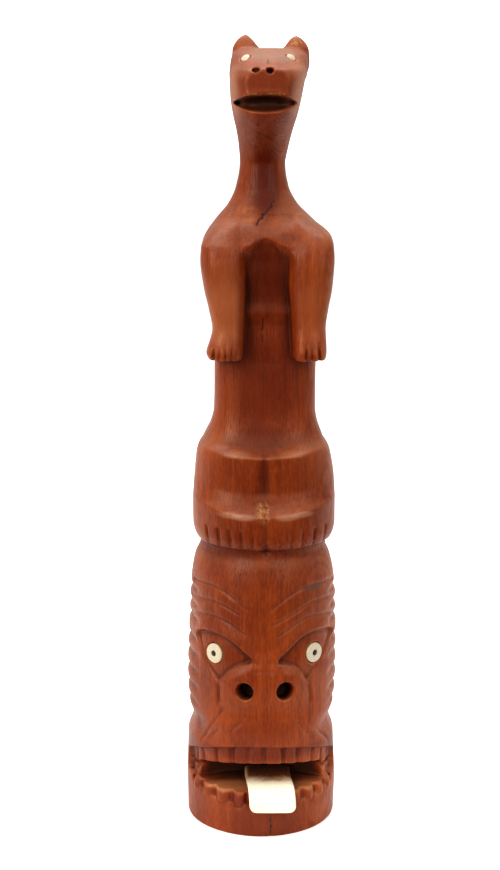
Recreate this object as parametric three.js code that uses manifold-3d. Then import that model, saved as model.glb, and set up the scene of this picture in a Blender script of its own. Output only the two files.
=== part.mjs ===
// A small carved totem pole: one round log with a wide-mouthed head at the bottom and a long-necked
// animal sitting on it, and seven inlaid pieces: a tongue, two discs for the lower eyes with a pupil
// in each, and two discs for the upper eyes.
// Millimetres, +Z up, the front of the pole towards -Y, the origin at the centre of the underside.
import * as THREE from "three";
import { mergeVertices } from "three/addons/utils/BufferGeometryUtils.js";
import Module from "manifold-3d";

// ---------------------------------------------------------------- driving dimensions
const LOG_RADIUS = 29.5; // the round log that all of it is carved from
const EAR_TIP_HEIGHT = 305;
const FACE_TURN = 1.5; // degrees: the lower face looks slightly past the middle
const GAP = 0.3; // clearance between an inlaid piece and its pocket

const MOUTH = {
  floor: 18.2, roof: 30.3, roofFall: 0.3, depth: 24, halfWidth: 36, corner: 25.8, middle: 0.7,
};
const LIP = { height: 37.3, fall: 0.4 }; // the upper lip's edge falls towards the sides
const TEETH = { lowerFoot: 12, inset: 1.3, pitch: 14, reach: 65, gapWidth: 2.6, gapDepth: 1.6 };
const NOSTRIL = { radius: 3.1, depth: 9, angle: 16.2, height: 60 };
const EYE = { radius: 3.8, thickness: 2.4, proud: -0.1, angle: 41.5, height: 73.2 };
const PUPIL = { radius: 1, thickness: 1.2, proud: 0.15 };
const TONGUE = {
  width: 18.1, tipWidth: 17.7, thickness: 3.2, tip: 11.9, root: -9, middle: 2.8, slant: 1.7, corner: 3,
};
const ANIMAL_EYE = { radius: 1.8, thickness: 1.6, middle: 2.2, out: 8, height: 297.2, y: -10.6 };
const ANIMAL_EYE_LOOKS = { out: 0.46, forward: 0.72, up: 0.52 };
const ANIMAL_MOUTH = { middle: 281.4, opening: 8, depth: 21, front: -31 };
const ANIMAL_NOSTRIL = { radius: 1.1, middle: 0.65, out: 2.5, height: 293 };
const MUZZLE_FACE = { y: -23.9, foot: 283.5, top: 296 }; // the flat front of the animal's muzzle
const EAR_SPACING = { middle: 3.4, out: 9.1, y: 3.4 };
const ARM_SPACING = 2; // the forelegs stand either side of this X
const PAW_FOOT = 187.4;
const ARCH = { top: 233.4, halfWidth: 8.5, spring: 223, foot: 205, belly: -17.4 }; // between the forelegs
const CLAWS = { out: 15.9, spacing: 2.9, height: 6.5, y: -23.6 }; // the cuts between a paw's toes
const FOOT_BOTTOM = 114.6;
const TOES = { middle: 1.4, out: 12.6, spacing: 4.4, height: 11, radius: 27.9, axis: 1 };
const SHIN_GAP = { foot: 135.5, top: 152, radius: 3.8, y: -23.4 }; // between the legs, behind the toes
const FOOT_GAP = { foot: 113.6, top: 134, radius: 2, y: -27.9 };
const LEGS_MIDDLE = 0.8;

// The broad relief of the lower face. rise is how far a part stands out of the log (in, when below zero),
// height and angle are its middle, tall and wide are half its size; angles are degrees round the pole.
const NOSE = { rise: 2.6, height: 59, tall: 13, angle: 0, wide: 44 };
const NOSE_WINGS = { rise: 1.4, height: 57, tall: 9, angle: 20, wide: 17 };
const NOSE_CREASES = { rise: -1.2, height: 57, tall: 8, angle: 37.5, wide: 5 };
const SOCKETS = { rise: -2.6, height: 76.5, tall: 8.5, angle: 27, wide: 20, droop: 0.18 };
const EYE_MOUNDS = { rise: 1.9, height: 73.2, tall: 11, angle: 41.5, wide: 19 };
const BROWS = { rise: 1.3, height: 86, tall: 9, angle: 34, wide: 36, climb: 0.1 };
const JAW_WAIST = { rise: -1.3, height: 41.5, tall: 6, from: 45, full: 70 };
const CHEEK_NOTCHES = { rise: -0.7, pitch: 6.5, height: 75.4, middle: 72, tall: 34 };
const BESIDE_THE_FACE = { from: 52, full: 66, fading: 112, gone: 134 };

// How finely the surfaces are divided.
const COLUMN_SIDES = 38;
const FRONT_CROWDING = 0.38; // how far the sides are drawn together at the front, where the carving is
const FACE_ROWS = { count: 25, foot: 43.6, step: 2.9 };
const FORELEG_SIDES = 16;
const EAR_SIDES = 14;

// The carved column is read from stations up its height. lean is the middle's X; half is half the width;
// front and back are the reach from the axis; square is the superellipse power, 2 for a round section.
const LOWER_HEAD = [
  { z: 0, lean: 0, half: 28.9, front: 28.7, back: 26.2, square: 2 },
  { z: 1.4, lean: 0, half: 29.7, front: LOG_RADIUS, back: 27, square: 2 },
  { z: 14, lean: 0, half: 29.8, front: 29.7, back: 27.2, square: 2 },
  { z: 33, lean: -0.1, half: 29.3, front: 29.9, back: 27.2, square: 2.05 },
  { z: 40, lean: 0, half: 28.7, front: 29.7, back: 27, square: 2.05 },
  { z: 60, lean: 0.3, half: 29.4, front: 28.4, back: 27, square: 2 },
  { z: 92, lean: 0.7, half: 28.6, front: 28.6, back: 26.5, square: 2 },
  { z: 101, lean: 0.6, half: 27.8, front: 28, back: 26, square: 2 },
  { z: 108, lean: 0.5, half: 26.3, front: 26.8, back: 24.8, square: 2 },
  { z: 113, lean: 0.6, half: 24.7, front: 25.2, back: 23.4, square: 2.05 },
];
const SEATED_LEGS = [
  { z: FOOT_BOTTOM, lean: 0.8, half: 24.8, front: 25.2, back: 23.3, square: 2.1 },
  { z: 116.6, lean: 1, half: 26.6, front: 27, back: 24, square: 2.15 },
  { z: 121, lean: 1.1, half: 27.8, front: 28, back: 24.6, square: 2.2 },
  { z: 128.6, lean: 1.1, half: 27.8, front: 27.6, back: 24.6, square: 2.25 },
  { z: 135.6, lean: 1.1, half: 27.4, front: 23.7, back: 24.5, square: 2.4 },
  { z: 138, lean: 1.1, half: 27.2, front: 23.3, back: 24.3, square: 2.4 },
  { z: 146.5, lean: 0.8, half: 25.9, front: 23.2, back: 23.2, square: 2.45 },
  { z: 150.4, lean: 0.6, half: 24.2, front: 22.9, back: 22.1, square: 2.5 },
];
const TORSO = [
  { z: 153.4, lean: 0.7, half: 22.7, front: 18.6, back: 21, square: 2.5 },
  { z: 159, lean: 1, half: 20.7, front: 15.8, back: 19.2, square: 2.7 },
  { z: 167, lean: 1.2, half: 19.6, front: 14.8, back: 18, square: 2.9 },
  { z: 183, lean: 1.4, half: 19.5, front: 14.4, back: 17.4, square: 3 },
  { z: 198.6, lean: 1.8, half: 19.6, front: 14.5, back: 17.7, square: 2.8 },
  { z: 203.2, lean: 2, half: 19.9, front: 15.7, back: 18, square: 2.6 },
  { z: 206.4, lean: 2, half: 20.3, front: 15.1, back: 18.3, square: 2.5 },
  { z: 215, lean: 2, half: 21.5, front: 15.9, back: 19.2, square: 2.4 },
  { z: 225, lean: 2, half: 24.2, front: 18.6, back: 20.4, square: 2.3 },
  { z: 231.4, lean: 2, half: 23.9, front: 21.1, back: 20.1, square: 2.2 },
];
const NECK = [
  { z: 238.7, lean: 1, half: 18.3, front: 15.6, back: 16.2, square: 2 },
  { z: 244.7, lean: 0.4, half: 12.9, front: 11.4, back: 12.6, square: 2 },
  { z: 251, lean: 0.2, half: 9.9, front: 9.3, back: 10.2, square: 2 },
  { z: 259, lean: 0.3, half: 8.6, front: 9, back: 9.2, square: 2 },
];
const UPPER_HEAD = [
  { z: 265.6, lean: 0.7, half: 9.4, front: 12, back: 9.7, square: 2 },
  { z: 271.4, lean: 1, half: 10.5, front: 17.2, back: 10.8, square: 2.1 },
  { z: 277.3, lean: 1.3, half: 12.1, front: 21.8, back: 12.2, square: 2.4 },
  { z: 283, lean: 1.5, half: 13.2, front: 24.9, back: 13.2, square: 2.8 },
  { z: 289, lean: 1.9, half: 13.95, front: 25.6, back: 13.8, square: 2.9 },
  { z: 292.8, lean: 2.3, half: 14.4, front: 24.4, back: 13.6, square: 2.5 },
  { z: 295.6, lean: 2.6, half: 14.35, front: 18.4, back: 12.9, square: 2.15 },
  { z: 298.6, lean: 2.8, half: 13.6, front: 12, back: 11.4, square: 2 },
  { z: 301.2, lean: 3, half: 10.5, front: 4.5, back: 8, square: 2 },
];
const COLUMN = [...LOWER_HEAD, ...SEATED_LEGS, ...TORSO, ...NECK, ...UPPER_HEAD];

// A foreleg, from the paw up to the shoulder: out is the distance from ARM_SPACING to its middle.
const FORELEG = [
  { z: PAW_FOOT, out: 15.7, half: 6.3, y: -15.2, depth: 8.2 },
  { z: PAW_FOOT + 2.4, out: 15.9, half: 6.9, y: -15.2, depth: 8.6 },
  { z: 193.5, out: 15.6, half: 6.6, y: -15, depth: 8.1 },
  { z: 199, out: 15.4, half: 6.5, y: -14.6, depth: 7.8 },
  { z: 206, out: 15.6, half: 7.3, y: -14, depth: 8.4 },
  { z: 214, out: 15.9, half: 8.5, y: -13.2, depth: 9.3 },
  { z: 223, out: 16.3, half: 8.7, y: -13, depth: 10.2 },
  { z: 229.5, out: 15.6, half: 9.1, y: -12.4, depth: 10 },
  { z: 231.6, out: 14.6, half: 9.2, y: -11.4, depth: 9.4 },
  { z: 235.5, out: 12, half: 8.6, y: -9.4, depth: 7.4 },
  { z: 240, out: 8.2, half: 7.2, y: -7.2, depth: 5.6 },
];
const FORELEG_SQUARE = 2.6;
const FORELEG_ROWS = [218, 226];

// An ear, from inside the head up to its tip.
const EAR_ROWS = [294, 297, 299, 302];
const EAR = [
  { z: 290, half: 3.4, depth: 4.4 },
  { z: 296, half: 4.5, depth: 4.8 },
  { z: 300.6, half: 4.1, depth: 4 },
  { z: 303.4, half: 2.3, depth: 2.6 },
  { z: EAR_TIP_HEIGHT, half: 0.3, depth: 0.4 },
];
const EAR_SQUARE = 2;

// ---------------------------------------------------------------- helpers
const wasm = await Module();
wasm.setup();
const radians = THREE.MathUtils.degToRad;
const facingFront = (degrees) => radians(degrees + FACE_TURN);
const mirrored = [-1, 1];

// Reads a list of stations at height z, with a curve that never swings past the stations.
function readStations(stations, z, key) {
  const last = stations.length - 1;
  const i = THREE.MathUtils.clamp(stations.findIndex((s) => s.z > z) - 1, 0, last - 1);
  if (z >= stations[last].z) return stations[last][key];
  const slope = (k) => (stations[k + 1][key] - stations[k][key]) / (stations[k + 1].z - stations[k].z);
  const tangent = (k) => {
    if (k === 0 || k === last) return 0;
    const below = slope(k - 1);
    const above = slope(k);
    return below * above <= 0 ? 0 : (2 * below * above) / (below + above);
  };
  const [a, b] = [stations[i], stations[i + 1]];
  const span = b.z - a.z;
  const t = THREE.MathUtils.clamp((z - a.z) / span, 0, 1);
  const ease = t * t * (3 - 2 * t);
  const rise = t * (1 - t) * (1 - t) * span * tangent(i);
  const fall = t * t * (t - 1) * span * tangent(i + 1);
  return a[key] * (1 - ease) + b[key] * ease + rise + fall;
}

// 1 at the middle of a rounded bump, 0 beyond its half width.
const bump = (value, middle, halfWidth) =>
  THREE.MathUtils.smoothstep(1 - Math.abs(value - middle) / halfWidth, 0, 1);

// The same, with a flat top.
const mound = (value, middle, halfWidth) =>
  THREE.MathUtils.smoothstep(1.6 * (1 - Math.abs(value - middle) / halfWidth), 0, 1);

// The distance from the axis to a superellipse's edge, in the direction (sin, -cos) of the angle.
function superellipse(angle, half, front, back, square) {
  const reach = Math.cos(angle) > 0 ? front : back;
  const sum = Math.abs(Math.sin(angle) / half) ** square + Math.abs(Math.cos(angle) / reach) ** square;
  return sum ** (-1 / square);
}

// How much one part of the face's relief adds to the log's radius.
const raised = (part, out, z) =>
  part.rise * bump(z, part.height, part.tall) * bump(out, part.angle, part.wide);

// The broad relief of the lower head, added to its radius.
function relief(angle, z) {
  const face = THREE.MathUtils.radToDeg(angle) - FACE_TURN;
  const out = Math.abs(face);
  const nose = raised(NOSE, out, z) + raised(NOSE_WINGS, out, z) + raised(NOSE_CREASES, out, z);
  const sockets = raised(SOCKETS, out, z + SOCKETS.droop * Math.abs(out - SOCKETS.angle));
  const mounds = EYE_MOUNDS.rise * mound(z, EYE_MOUNDS.height, EYE_MOUNDS.tall)
    * mound(out, EYE_MOUNDS.angle, EYE_MOUNDS.wide);
  const brows = raised(BROWS, out, z - BROWS.climb * out);
  const jaw = JAW_WAIST.rise * bump(z, JAW_WAIST.height, JAW_WAIST.tall)
    * THREE.MathUtils.smoothstep(out, JAW_WAIST.from, JAW_WAIST.full);
  const beside = THREE.MathUtils.smoothstep(out, BESIDE_THE_FACE.from, BESIDE_THE_FACE.full)
    - THREE.MathUtils.smoothstep(out, BESIDE_THE_FACE.fading, BESIDE_THE_FACE.gone);
  const turns = (z - CHEEK_NOTCHES.height) / CHEEK_NOTCHES.pitch;
  const notches = CHEEK_NOTCHES.rise * beside * bump(z, CHEEK_NOTCHES.middle, CHEEK_NOTCHES.tall)
    * Math.max(0, Math.cos(2 * Math.PI * turns));
  return nose + sockets + mounds + brows + jaw + notches;
}

// The point of the column's surface at an angle from the front and a height.
function columnPoint(angle, z) {
  const [lean, half, front, back, square] = ["lean", "half", "front", "back", "square"].map((key) =>
    readStations(COLUMN, z, key),
  );
  const radius = superellipse(angle, half, front, back, square) + (z < FOOT_BOTTOM ? relief(angle, z) : 0);
  return new THREE.Vector3(lean + radius * Math.sin(angle), -radius * Math.cos(angle), z);
}

// The direction straight out of the column's surface.
function columnNormal(angle, z) {
  const step = 0.04;
  const rise = 1.5;
  const across = columnPoint(angle + step, z).sub(columnPoint(angle - step, z));
  const up = columnPoint(angle, z + rise).sub(columnPoint(angle, z - rise));
  return across.cross(up).normalize();
}

// Turns a closed geometry into a solid that can be joined and cut.
function solid(geometry) {
  const bare = geometry.index ? geometry.toNonIndexed() : geometry.clone();
  for (const name of Object.keys(bare.attributes)) if (name !== "position") bare.deleteAttribute(name);
  const merged = mergeVertices(bare, 1e-3);
  const mesh = new wasm.Mesh({
    numProp: 3,
    vertProperties: merged.attributes.position.array,
    triVerts: new Uint32Array(merged.index.array),
  });
  return new wasm.Manifold(mesh);
}

function geometryOf(shape) {
  const mesh = shape.getMesh();
  const geometry = new THREE.BufferGeometry();
  const positions = new THREE.BufferAttribute(new Float32Array(mesh.vertProperties), mesh.numProp);
  geometry.setAttribute("position", positions);
  geometry.setIndex(new THREE.BufferAttribute(new Uint32Array(mesh.triVerts), 1));
  geometry.computeVertexNormals();
  return geometry;
}

// A closed stack of sections: a cylinder whose rings are moved to the heights given and whose
// vertices are moved to the points that pointAt gives for an angle and a height.
function loft(heights, sides, angleOf, pointAt) {
  const rings = heights.length - 1;
  const geometry = new THREE.CylinderGeometry(1, 1, 1, sides, rings);
  const position = geometry.attributes.position;
  for (let i = 0; i < position.count; i++) {
    const turn = Math.atan2(position.getX(i), position.getZ(i));
    const onCapCentre = Math.hypot(position.getX(i), position.getZ(i)) < 0.5;
    const z = heights[Math.round((position.getY(i) + 0.5) * rings)];
    const point = pointAt(angleOf(turn), z);
    if (onCapCentre) {
      const opposite = pointAt(angleOf(turn) + Math.PI, z);
      point.add(opposite).multiplyScalar(0.5);
    }
    position.setXYZ(i, point.x, point.y, point.z);
  }
  return geometry;
}

// A cutter or a piece placed with its own Z along a direction.
function placedAlong(geometry, at, direction) {
  const turn = new THREE.Quaternion().setFromUnitVectors(new THREE.Vector3(0, 0, 1), direction);
  return geometry.applyQuaternion(turn).translate(at.x, at.y, at.z);
}

const disc = (radius, thickness, sides = 22) =>
  new THREE.CylinderGeometry(radius, radius, thickness, sides).rotateX(Math.PI / 2);

// ---------------------------------------------------------------- the wood, carved in one piece
function carvedColumn() {
  const lowHeights = [0, 1.4, 10, 20, 28, 33, 37, 40.5];
  const faceHeights = Array.from({ length: FACE_ROWS.count }, (_, i) => FACE_ROWS.foot + i * FACE_ROWS.step);
  const figureHeights = COLUMN.map((s) => s.z).filter((z) => z >= FOOT_BOTTOM);
  const neckHeights = [235.7, 241.7, 247.8, 255, 262.4, 268.5, 286];
  const heights = [...lowHeights, ...faceHeights, ...figureHeights, ...neckHeights].sort((a, b) => a - b);
  const moreInFront = (turn) => turn - FRONT_CROWDING * Math.sin(turn);
  return solid(loft(heights, COLUMN_SIDES, moreInFront, columnPoint));
}

function foreleg(side) {
  const heights = [...FORELEG.map((station) => station.z), ...FORELEG_ROWS].sort((a, b) => a - b);
  const pointAt = (angle, z) => {
    const [out, half, y, depth] = ["out", "half", "y", "depth"].map((key) => readStations(FORELEG, z, key));
    const radius = superellipse(angle, half, depth, depth, FORELEG_SQUARE);
    const x = ARM_SPACING + side * out + radius * Math.sin(angle);
    return new THREE.Vector3(x, y - radius * Math.cos(angle), z);
  };
  return solid(loft(heights, FORELEG_SIDES, (turn) => turn, pointAt));
}

function ear(side) {
  const pointAt = (angle, z) => {
    const [half, depth] = ["half", "depth"].map((key) => readStations(EAR, z, key));
    const radius = superellipse(angle, half, depth, depth, EAR_SQUARE);
    const x = EAR_SPACING.middle + side * EAR_SPACING.out + radius * Math.sin(angle);
    return new THREE.Vector3(x, EAR_SPACING.y - radius * Math.cos(angle), z);
  };
  const heights = [...EAR.map((station) => station.z), ...EAR_ROWS].sort((a, b) => a - b);
  return solid(loft(heights, EAR_SIDES, (turn) => turn, pointAt));
}

// A ring that takes the wood away outside the teeth, between two heights. The top falls towards the sides.
function toothBand(foot, top, fall) {
  const outside = LOG_RADIUS + 6;
  const inside = LOG_RADIUS - TEETH.inset;
  const reach = radians(TEETH.reach + 12);
  const plan = new THREE.Shape();
  plan.absarc(0, 0, outside, -Math.PI / 2 - reach, -Math.PI / 2 + reach, false);
  plan.absarc(0, 0, inside, -Math.PI / 2 + reach, -Math.PI / 2 - reach, true);
  const band = new THREE.ExtrudeGeometry(plan, { depth: 1, bevelEnabled: false, curveSegments: 9 });
  return solid(shearedTop(band, foot, top, fall));
}

// Gives a geometry of unit height its foot and a top that falls by fall for each millimetre back.
function shearedTop(geometry, foot, top, fall) {
  const position = geometry.attributes.position;
  for (let i = 0; i < position.count; i++) {
    const topHere = top - fall * (position.getY(i) + LOG_RADIUS);
    position.setZ(i, position.getZ(i) > 0.5 ? Math.max(topHere, foot + 1) : foot);
  }
  return geometry;
}

function mouthCavity() {
  const plan = new THREE.Shape();
  plan.absellipse(0, -LOG_RADIUS - 1, MOUTH.halfWidth, MOUTH.depth, 0, 2 * Math.PI, false, 0);
  const slab = new THREE.ExtrudeGeometry(plan, { depth: 1, bevelEnabled: false, curveSegments: 18 });
  const cavity = solid(shearedTop(slab, MOUTH.floor, MOUTH.roof, MOUTH.roofFall));
  const front = new THREE.BoxGeometry(2 * MOUTH.corner, 60, 60).translate(MOUTH.middle, -LOG_RADIUS, 25);
  return cavity.intersect(solid(front));
}

// An upright V-shaped groove on the surface, at an angle round the pole or at a place on a paw.
function groove(x, y, outward, foot, top, width, depth) {
  const section = new THREE.Shape([
    new THREE.Vector2(-width / 2 - 0.4, 1),
    new THREE.Vector2(0, -depth),
    new THREE.Vector2(width / 2 + 0.4, 1),
  ]);
  const wedge = new THREE.ExtrudeGeometry(section, { depth: top - foot, bevelEnabled: false });
  return solid(wedge.rotateZ(outward + Math.PI).translate(x, y, foot));
}

function toothGaps() {
  const gaps = [];
  const radius = LOG_RADIUS - TEETH.inset;
  const count = Math.floor(TEETH.reach / TEETH.pitch);
  for (let i = -count; i <= count; i++) {
    const upper = facingFront((i + 0.1) * TEETH.pitch);
    const lower = facingFront((i + 0.45) * TEETH.pitch);
    const at = (angle, foot, top) => {
      const [x, y] = [radius * Math.sin(angle), -radius * Math.cos(angle)];
      return groove(x, y, angle, foot, top, TEETH.gapWidth, TEETH.gapDepth);
    };
    gaps.push(at(upper, MOUTH.roof - 6, LIP.height + 0.2), at(lower, TEETH.lowerFoot - 0.2, MOUTH.floor + 1));
  }
  return gaps;
}

function nostril(side) {
  const angle = facingFront(side * NOSTRIL.angle);
  const out = columnPoint(angle, NOSTRIL.height);
  const bore = disc(NOSTRIL.radius, 2 * NOSTRIL.depth, 16);
  return solid(placedAlong(bore, out, new THREE.Vector3(side * 0.25, -1, 0).normalize()));
}

// Four V cuts between the five toes of a foot, a given distance apart about its middle.
function toeCuts(middle, spacing, foot, top, frontAt) {
  return [-1.5, -0.5, 0.5, 1.5].map((k) => {
    const x = middle + k * spacing;
    return groove(x, frontAt(x), Math.atan2(x - middle, 40), foot, top, 1.4, 1.2);
  });
}

// The opening between the forelegs: round-topped, and cut back to the belly.
function archCut() {
  const arch = new THREE.Shape();
  arch.moveTo(ARM_SPACING - ARCH.halfWidth, ARCH.foot);
  arch.lineTo(ARM_SPACING + ARCH.halfWidth, ARCH.foot);
  arch.lineTo(ARM_SPACING + ARCH.halfWidth, ARCH.spring);
  arch.absellipse(ARM_SPACING, ARCH.spring, ARCH.halfWidth, ARCH.top - ARCH.spring, 0, Math.PI, false, 0);
  const block = new THREE.ExtrudeGeometry(arch, { depth: 20, bevelEnabled: false, curveSegments: 10 });
  return solid(block.rotateX(Math.PI / 2).translate(0, ARCH.belly, 0));
}

// The wood in front of the muzzle's flat face.
function muzzleCut() {
  const block = new THREE.BoxGeometry(40, 10, MUZZLE_FACE.top - MUZZLE_FACE.foot);
  return solid(block.translate(0, MUZZLE_FACE.y - 5, (MUZZLE_FACE.top + MUZZLE_FACE.foot) / 2));
}

// A cut between the two legs, wide at its foot and closing at its top: one lies between the shins and
// one between the feet.
function betweenTheLegs({ foot, top, radius, y }) {
  const cut = new THREE.CylinderGeometry(0.4, radius, top - foot, 4).rotateX(Math.PI / 2);
  return solid(cut.translate(LEGS_MIDDLE, y, (top + foot) / 2));
}

function animalMouth() {
  const halfOpening = ANIMAL_MOUTH.opening / 2;
  const section = new THREE.Shape([
    new THREE.Vector2(0, halfOpening),
    new THREE.Vector2(0, -halfOpening),
    new THREE.Vector2(ANIMAL_MOUTH.depth, 0),
  ]);
  const wedge = new THREE.ExtrudeGeometry(section, { depth: 40, bevelEnabled: false });
  wedge.rotateX(Math.PI / 2).rotateZ(Math.PI / 2);
  wedge.computeBoundingBox();
  const box = wedge.boundingBox;
  const x = ANIMAL_EYE.middle - (box.min.x + box.max.x) / 2;
  const y = ANIMAL_MOUTH.front - box.min.y;
  return solid(wedge.translate(x, y, ANIMAL_MOUTH.middle - (box.min.z + box.max.z) / 2));
}

function animalNostril(side) {
  const length = 8;
  const bore = new THREE.CylinderGeometry(ANIMAL_NOSTRIL.radius, ANIMAL_NOSTRIL.radius, length, 10);
  const x = ANIMAL_NOSTRIL.middle + side * ANIMAL_NOSTRIL.out;
  return solid(bore.translate(x, MUZZLE_FACE.y, ANIMAL_NOSTRIL.height));
}

// ---------------------------------------------------------------- the inlaid pieces
// A seat is the middle of an inlaid disc's outer face, and the way that it looks.
function lowerEyeSeat(side) {
  const angle = facingFront(side * EYE.angle);
  const outward = columnNormal(angle, EYE.height);
  return { at: columnPoint(angle, EYE.height).addScaledVector(outward, EYE.proud), outward };
}

function upperEyeSeat(side) {
  const looks = ANIMAL_EYE_LOOKS;
  const outward = new THREE.Vector3(side * looks.out, -looks.forward, looks.up).normalize();
  const x = ANIMAL_EYE.middle + side * ANIMAL_EYE.out;
  const at = new THREE.Vector3(x, ANIMAL_EYE.y, ANIMAL_EYE.height);
  return { at, outward };
}

// A disc whose outer face is at z = top.
const discBelow = (top, radius, thickness) => disc(radius, thickness).translate(0, 0, top - thickness / 2);

// The pocket for a disc: wider and deeper by the gap, and open to the outside.
function pocket(seat, radius, thickness) {
  const runOut = 4;
  const hole = discBelow(runOut, radius + GAP, thickness + runOut + GAP);
  return solid(placedAlong(hole, seat.at, seat.outward));
}

// A lower eye is a ring closed at the back, with the pupil in its middle.
function lowerEyeGeometry() {
  const hole = discBelow(4, PUPIL.radius + GAP, 4 + PUPIL.thickness - PUPIL.proud + GAP);
  return geometryOf(solid(discBelow(0, EYE.radius, EYE.thickness)).subtract(solid(hole)));
}

// The tongue lies on the floor of the mouth and hangs over the lower teeth. It is one slab: an outline
// seen from the side, cut by an outline seen from the front, where its tip slants to one side.
function tongueGeometry() {
  const t = TONGUE.thickness;
  const under = MOUTH.floor + GAP;
  const face = -LOG_RADIUS - GAP - 0.35;
  const bend = t * 0.9;
  const side = new THREE.Shape();
  side.moveTo(TONGUE.root, under);
  side.lineTo(TONGUE.root, under + t);
  side.lineTo(face + bend - t, under + t);
  side.absarc(face + bend - t, under + t - bend, bend, Math.PI / 2, Math.PI, false);
  side.absarc(face - t / 2, TONGUE.tip + t / 2, t / 2, Math.PI, 2 * Math.PI, false);
  side.lineTo(face, under - 0.9);
  side.lineTo(face + 0.7, under);
  const slab = new THREE.ExtrudeGeometry(side, { depth: 60, bevelEnabled: false, curveSegments: 8 });
  slab.translate(0, 0, -30).rotateX(Math.PI / 2).rotateZ(Math.PI / 2);

  const top = under + t + 1;
  const half = TONGUE.width / 2;
  const tipHalf = TONGUE.tipWidth / 2;
  const tipMiddle = TONGUE.middle + TONGUE.slant;
  const front = new THREE.Shape();
  front.moveTo(TONGUE.middle + half, top);
  front.lineTo(TONGUE.middle - half, top);
  front.lineTo(tipMiddle - tipHalf - 0.6, TONGUE.tip + TONGUE.corner);
  front.quadraticCurveTo(tipMiddle - tipHalf, TONGUE.tip, tipMiddle - tipHalf + TONGUE.corner, TONGUE.tip);
  front.lineTo(tipMiddle + tipHalf - TONGUE.corner, TONGUE.tip);
  front.quadraticCurveTo(tipMiddle + tipHalf, TONGUE.tip, tipMiddle + tipHalf, TONGUE.tip + TONGUE.corner);
  const outline = new THREE.ExtrudeGeometry(front, { depth: 60, bevelEnabled: false, curveSegments: 6 });
  return geometryOf(solid(slab).intersect(solid(outline.rotateX(Math.PI / 2))));
}

// ---------------------------------------------------------------- assembly
function poleShape() {
  let wood = carvedColumn();
  for (const side of mirrored) wood = wood.add(foreleg(side)).add(ear(side));
  const cuts = [
    mouthCavity(),
    toothBand(MOUTH.roof - 6, LIP.height, LIP.fall),
    toothBand(TEETH.lowerFoot, MOUTH.floor + 4, 0),
    ...toothGaps(),
    archCut(),
    betweenTheLegs(SHIN_GAP),
    betweenTheLegs(FOOT_GAP),
    muzzleCut(),
    animalMouth(),
  ];
  for (const side of mirrored) {
    cuts.push(nostril(side), animalNostril(side));
    cuts.push(pocket(lowerEyeSeat(side), EYE.radius, EYE.thickness));
    cuts.push(pocket(upperEyeSeat(side), ANIMAL_EYE.radius, ANIMAL_EYE.thickness));
    const paw = ARM_SPACING + side * CLAWS.out;
    cuts.push(...toeCuts(paw, CLAWS.spacing, PAW_FOOT - 2, PAW_FOOT + CLAWS.height, () => CLAWS.y));
    const foot = TOES.middle + side * TOES.out;
    const frontOfFoot = (x) => -Math.sqrt(TOES.radius ** 2 - (x - TOES.axis) ** 2);
    cuts.push(...toeCuts(foot, TOES.spacing, FOOT_BOTTOM - 2, FOOT_BOTTOM + TOES.height, frontOfFoot));
  }
  for (const cut of cuts) wood = wood.subtract(cut);
  return wood;
}

const woodMaterial = new THREE.MeshStandardMaterial({ color: 0x8a3d1f, roughness: 0.42, metalness: 0 });
const ivoryMaterial = new THREE.MeshStandardMaterial({ color: 0xf2ead2, roughness: 0.3, metalness: 0 });
const pupilMaterial = new THREE.MeshStandardMaterial({ color: 0x17120f, roughness: 0.35, metalness: 0 });

const totemPole = new THREE.Group();
function addPiece(name, geometry, material) {
  const mesh = new THREE.Mesh(geometry, material);
  mesh.name = name;
  totemPole.add(mesh);
  return mesh;
}

function seatPiece(mesh, seat) {
  mesh.position.copy(seat.at);
  mesh.quaternion.setFromUnitVectors(new THREE.Vector3(0, 0, 1), seat.outward);
}

addPiece("pole", geometryOf(poleShape()), woodMaterial);
addPiece("tongue", tongueGeometry(), ivoryMaterial);
for (const side of mirrored) {
  const hand = side < 0 ? "left" : "right";
  const pupil = discBelow(PUPIL.proud, PUPIL.radius, PUPIL.thickness);
  const upperEye = discBelow(0, ANIMAL_EYE.radius, ANIMAL_EYE.thickness);
  seatPiece(addPiece(`lower_eye_${hand}`, lowerEyeGeometry(), ivoryMaterial), lowerEyeSeat(side));
  seatPiece(addPiece(`lower_pupil_${hand}`, pupil, pupilMaterial), lowerEyeSeat(side));
  seatPiece(addPiece(`upper_eye_${hand}`, upperEye, ivoryMaterial), upperEyeSeat(side));
}

export default totemPole;
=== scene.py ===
"""A small carved totem pole of stained, waxed wood, with inlaid cream discs for its eyes and a cream tongue.

The wood is carved the way the real one was: a log is shaped, its mouth is opened, and gouge cuts, grooves
and pockets are taken out of it. All of that happens in a block of small cells, each of which holds how far
it is from the wood's surface, in millimetres and below zero inside the wood. The surface is then drawn
through the cells.
"""

import math

import bmesh
import bpy
import numpy as np
from mathutils import Matrix, Vector


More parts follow.
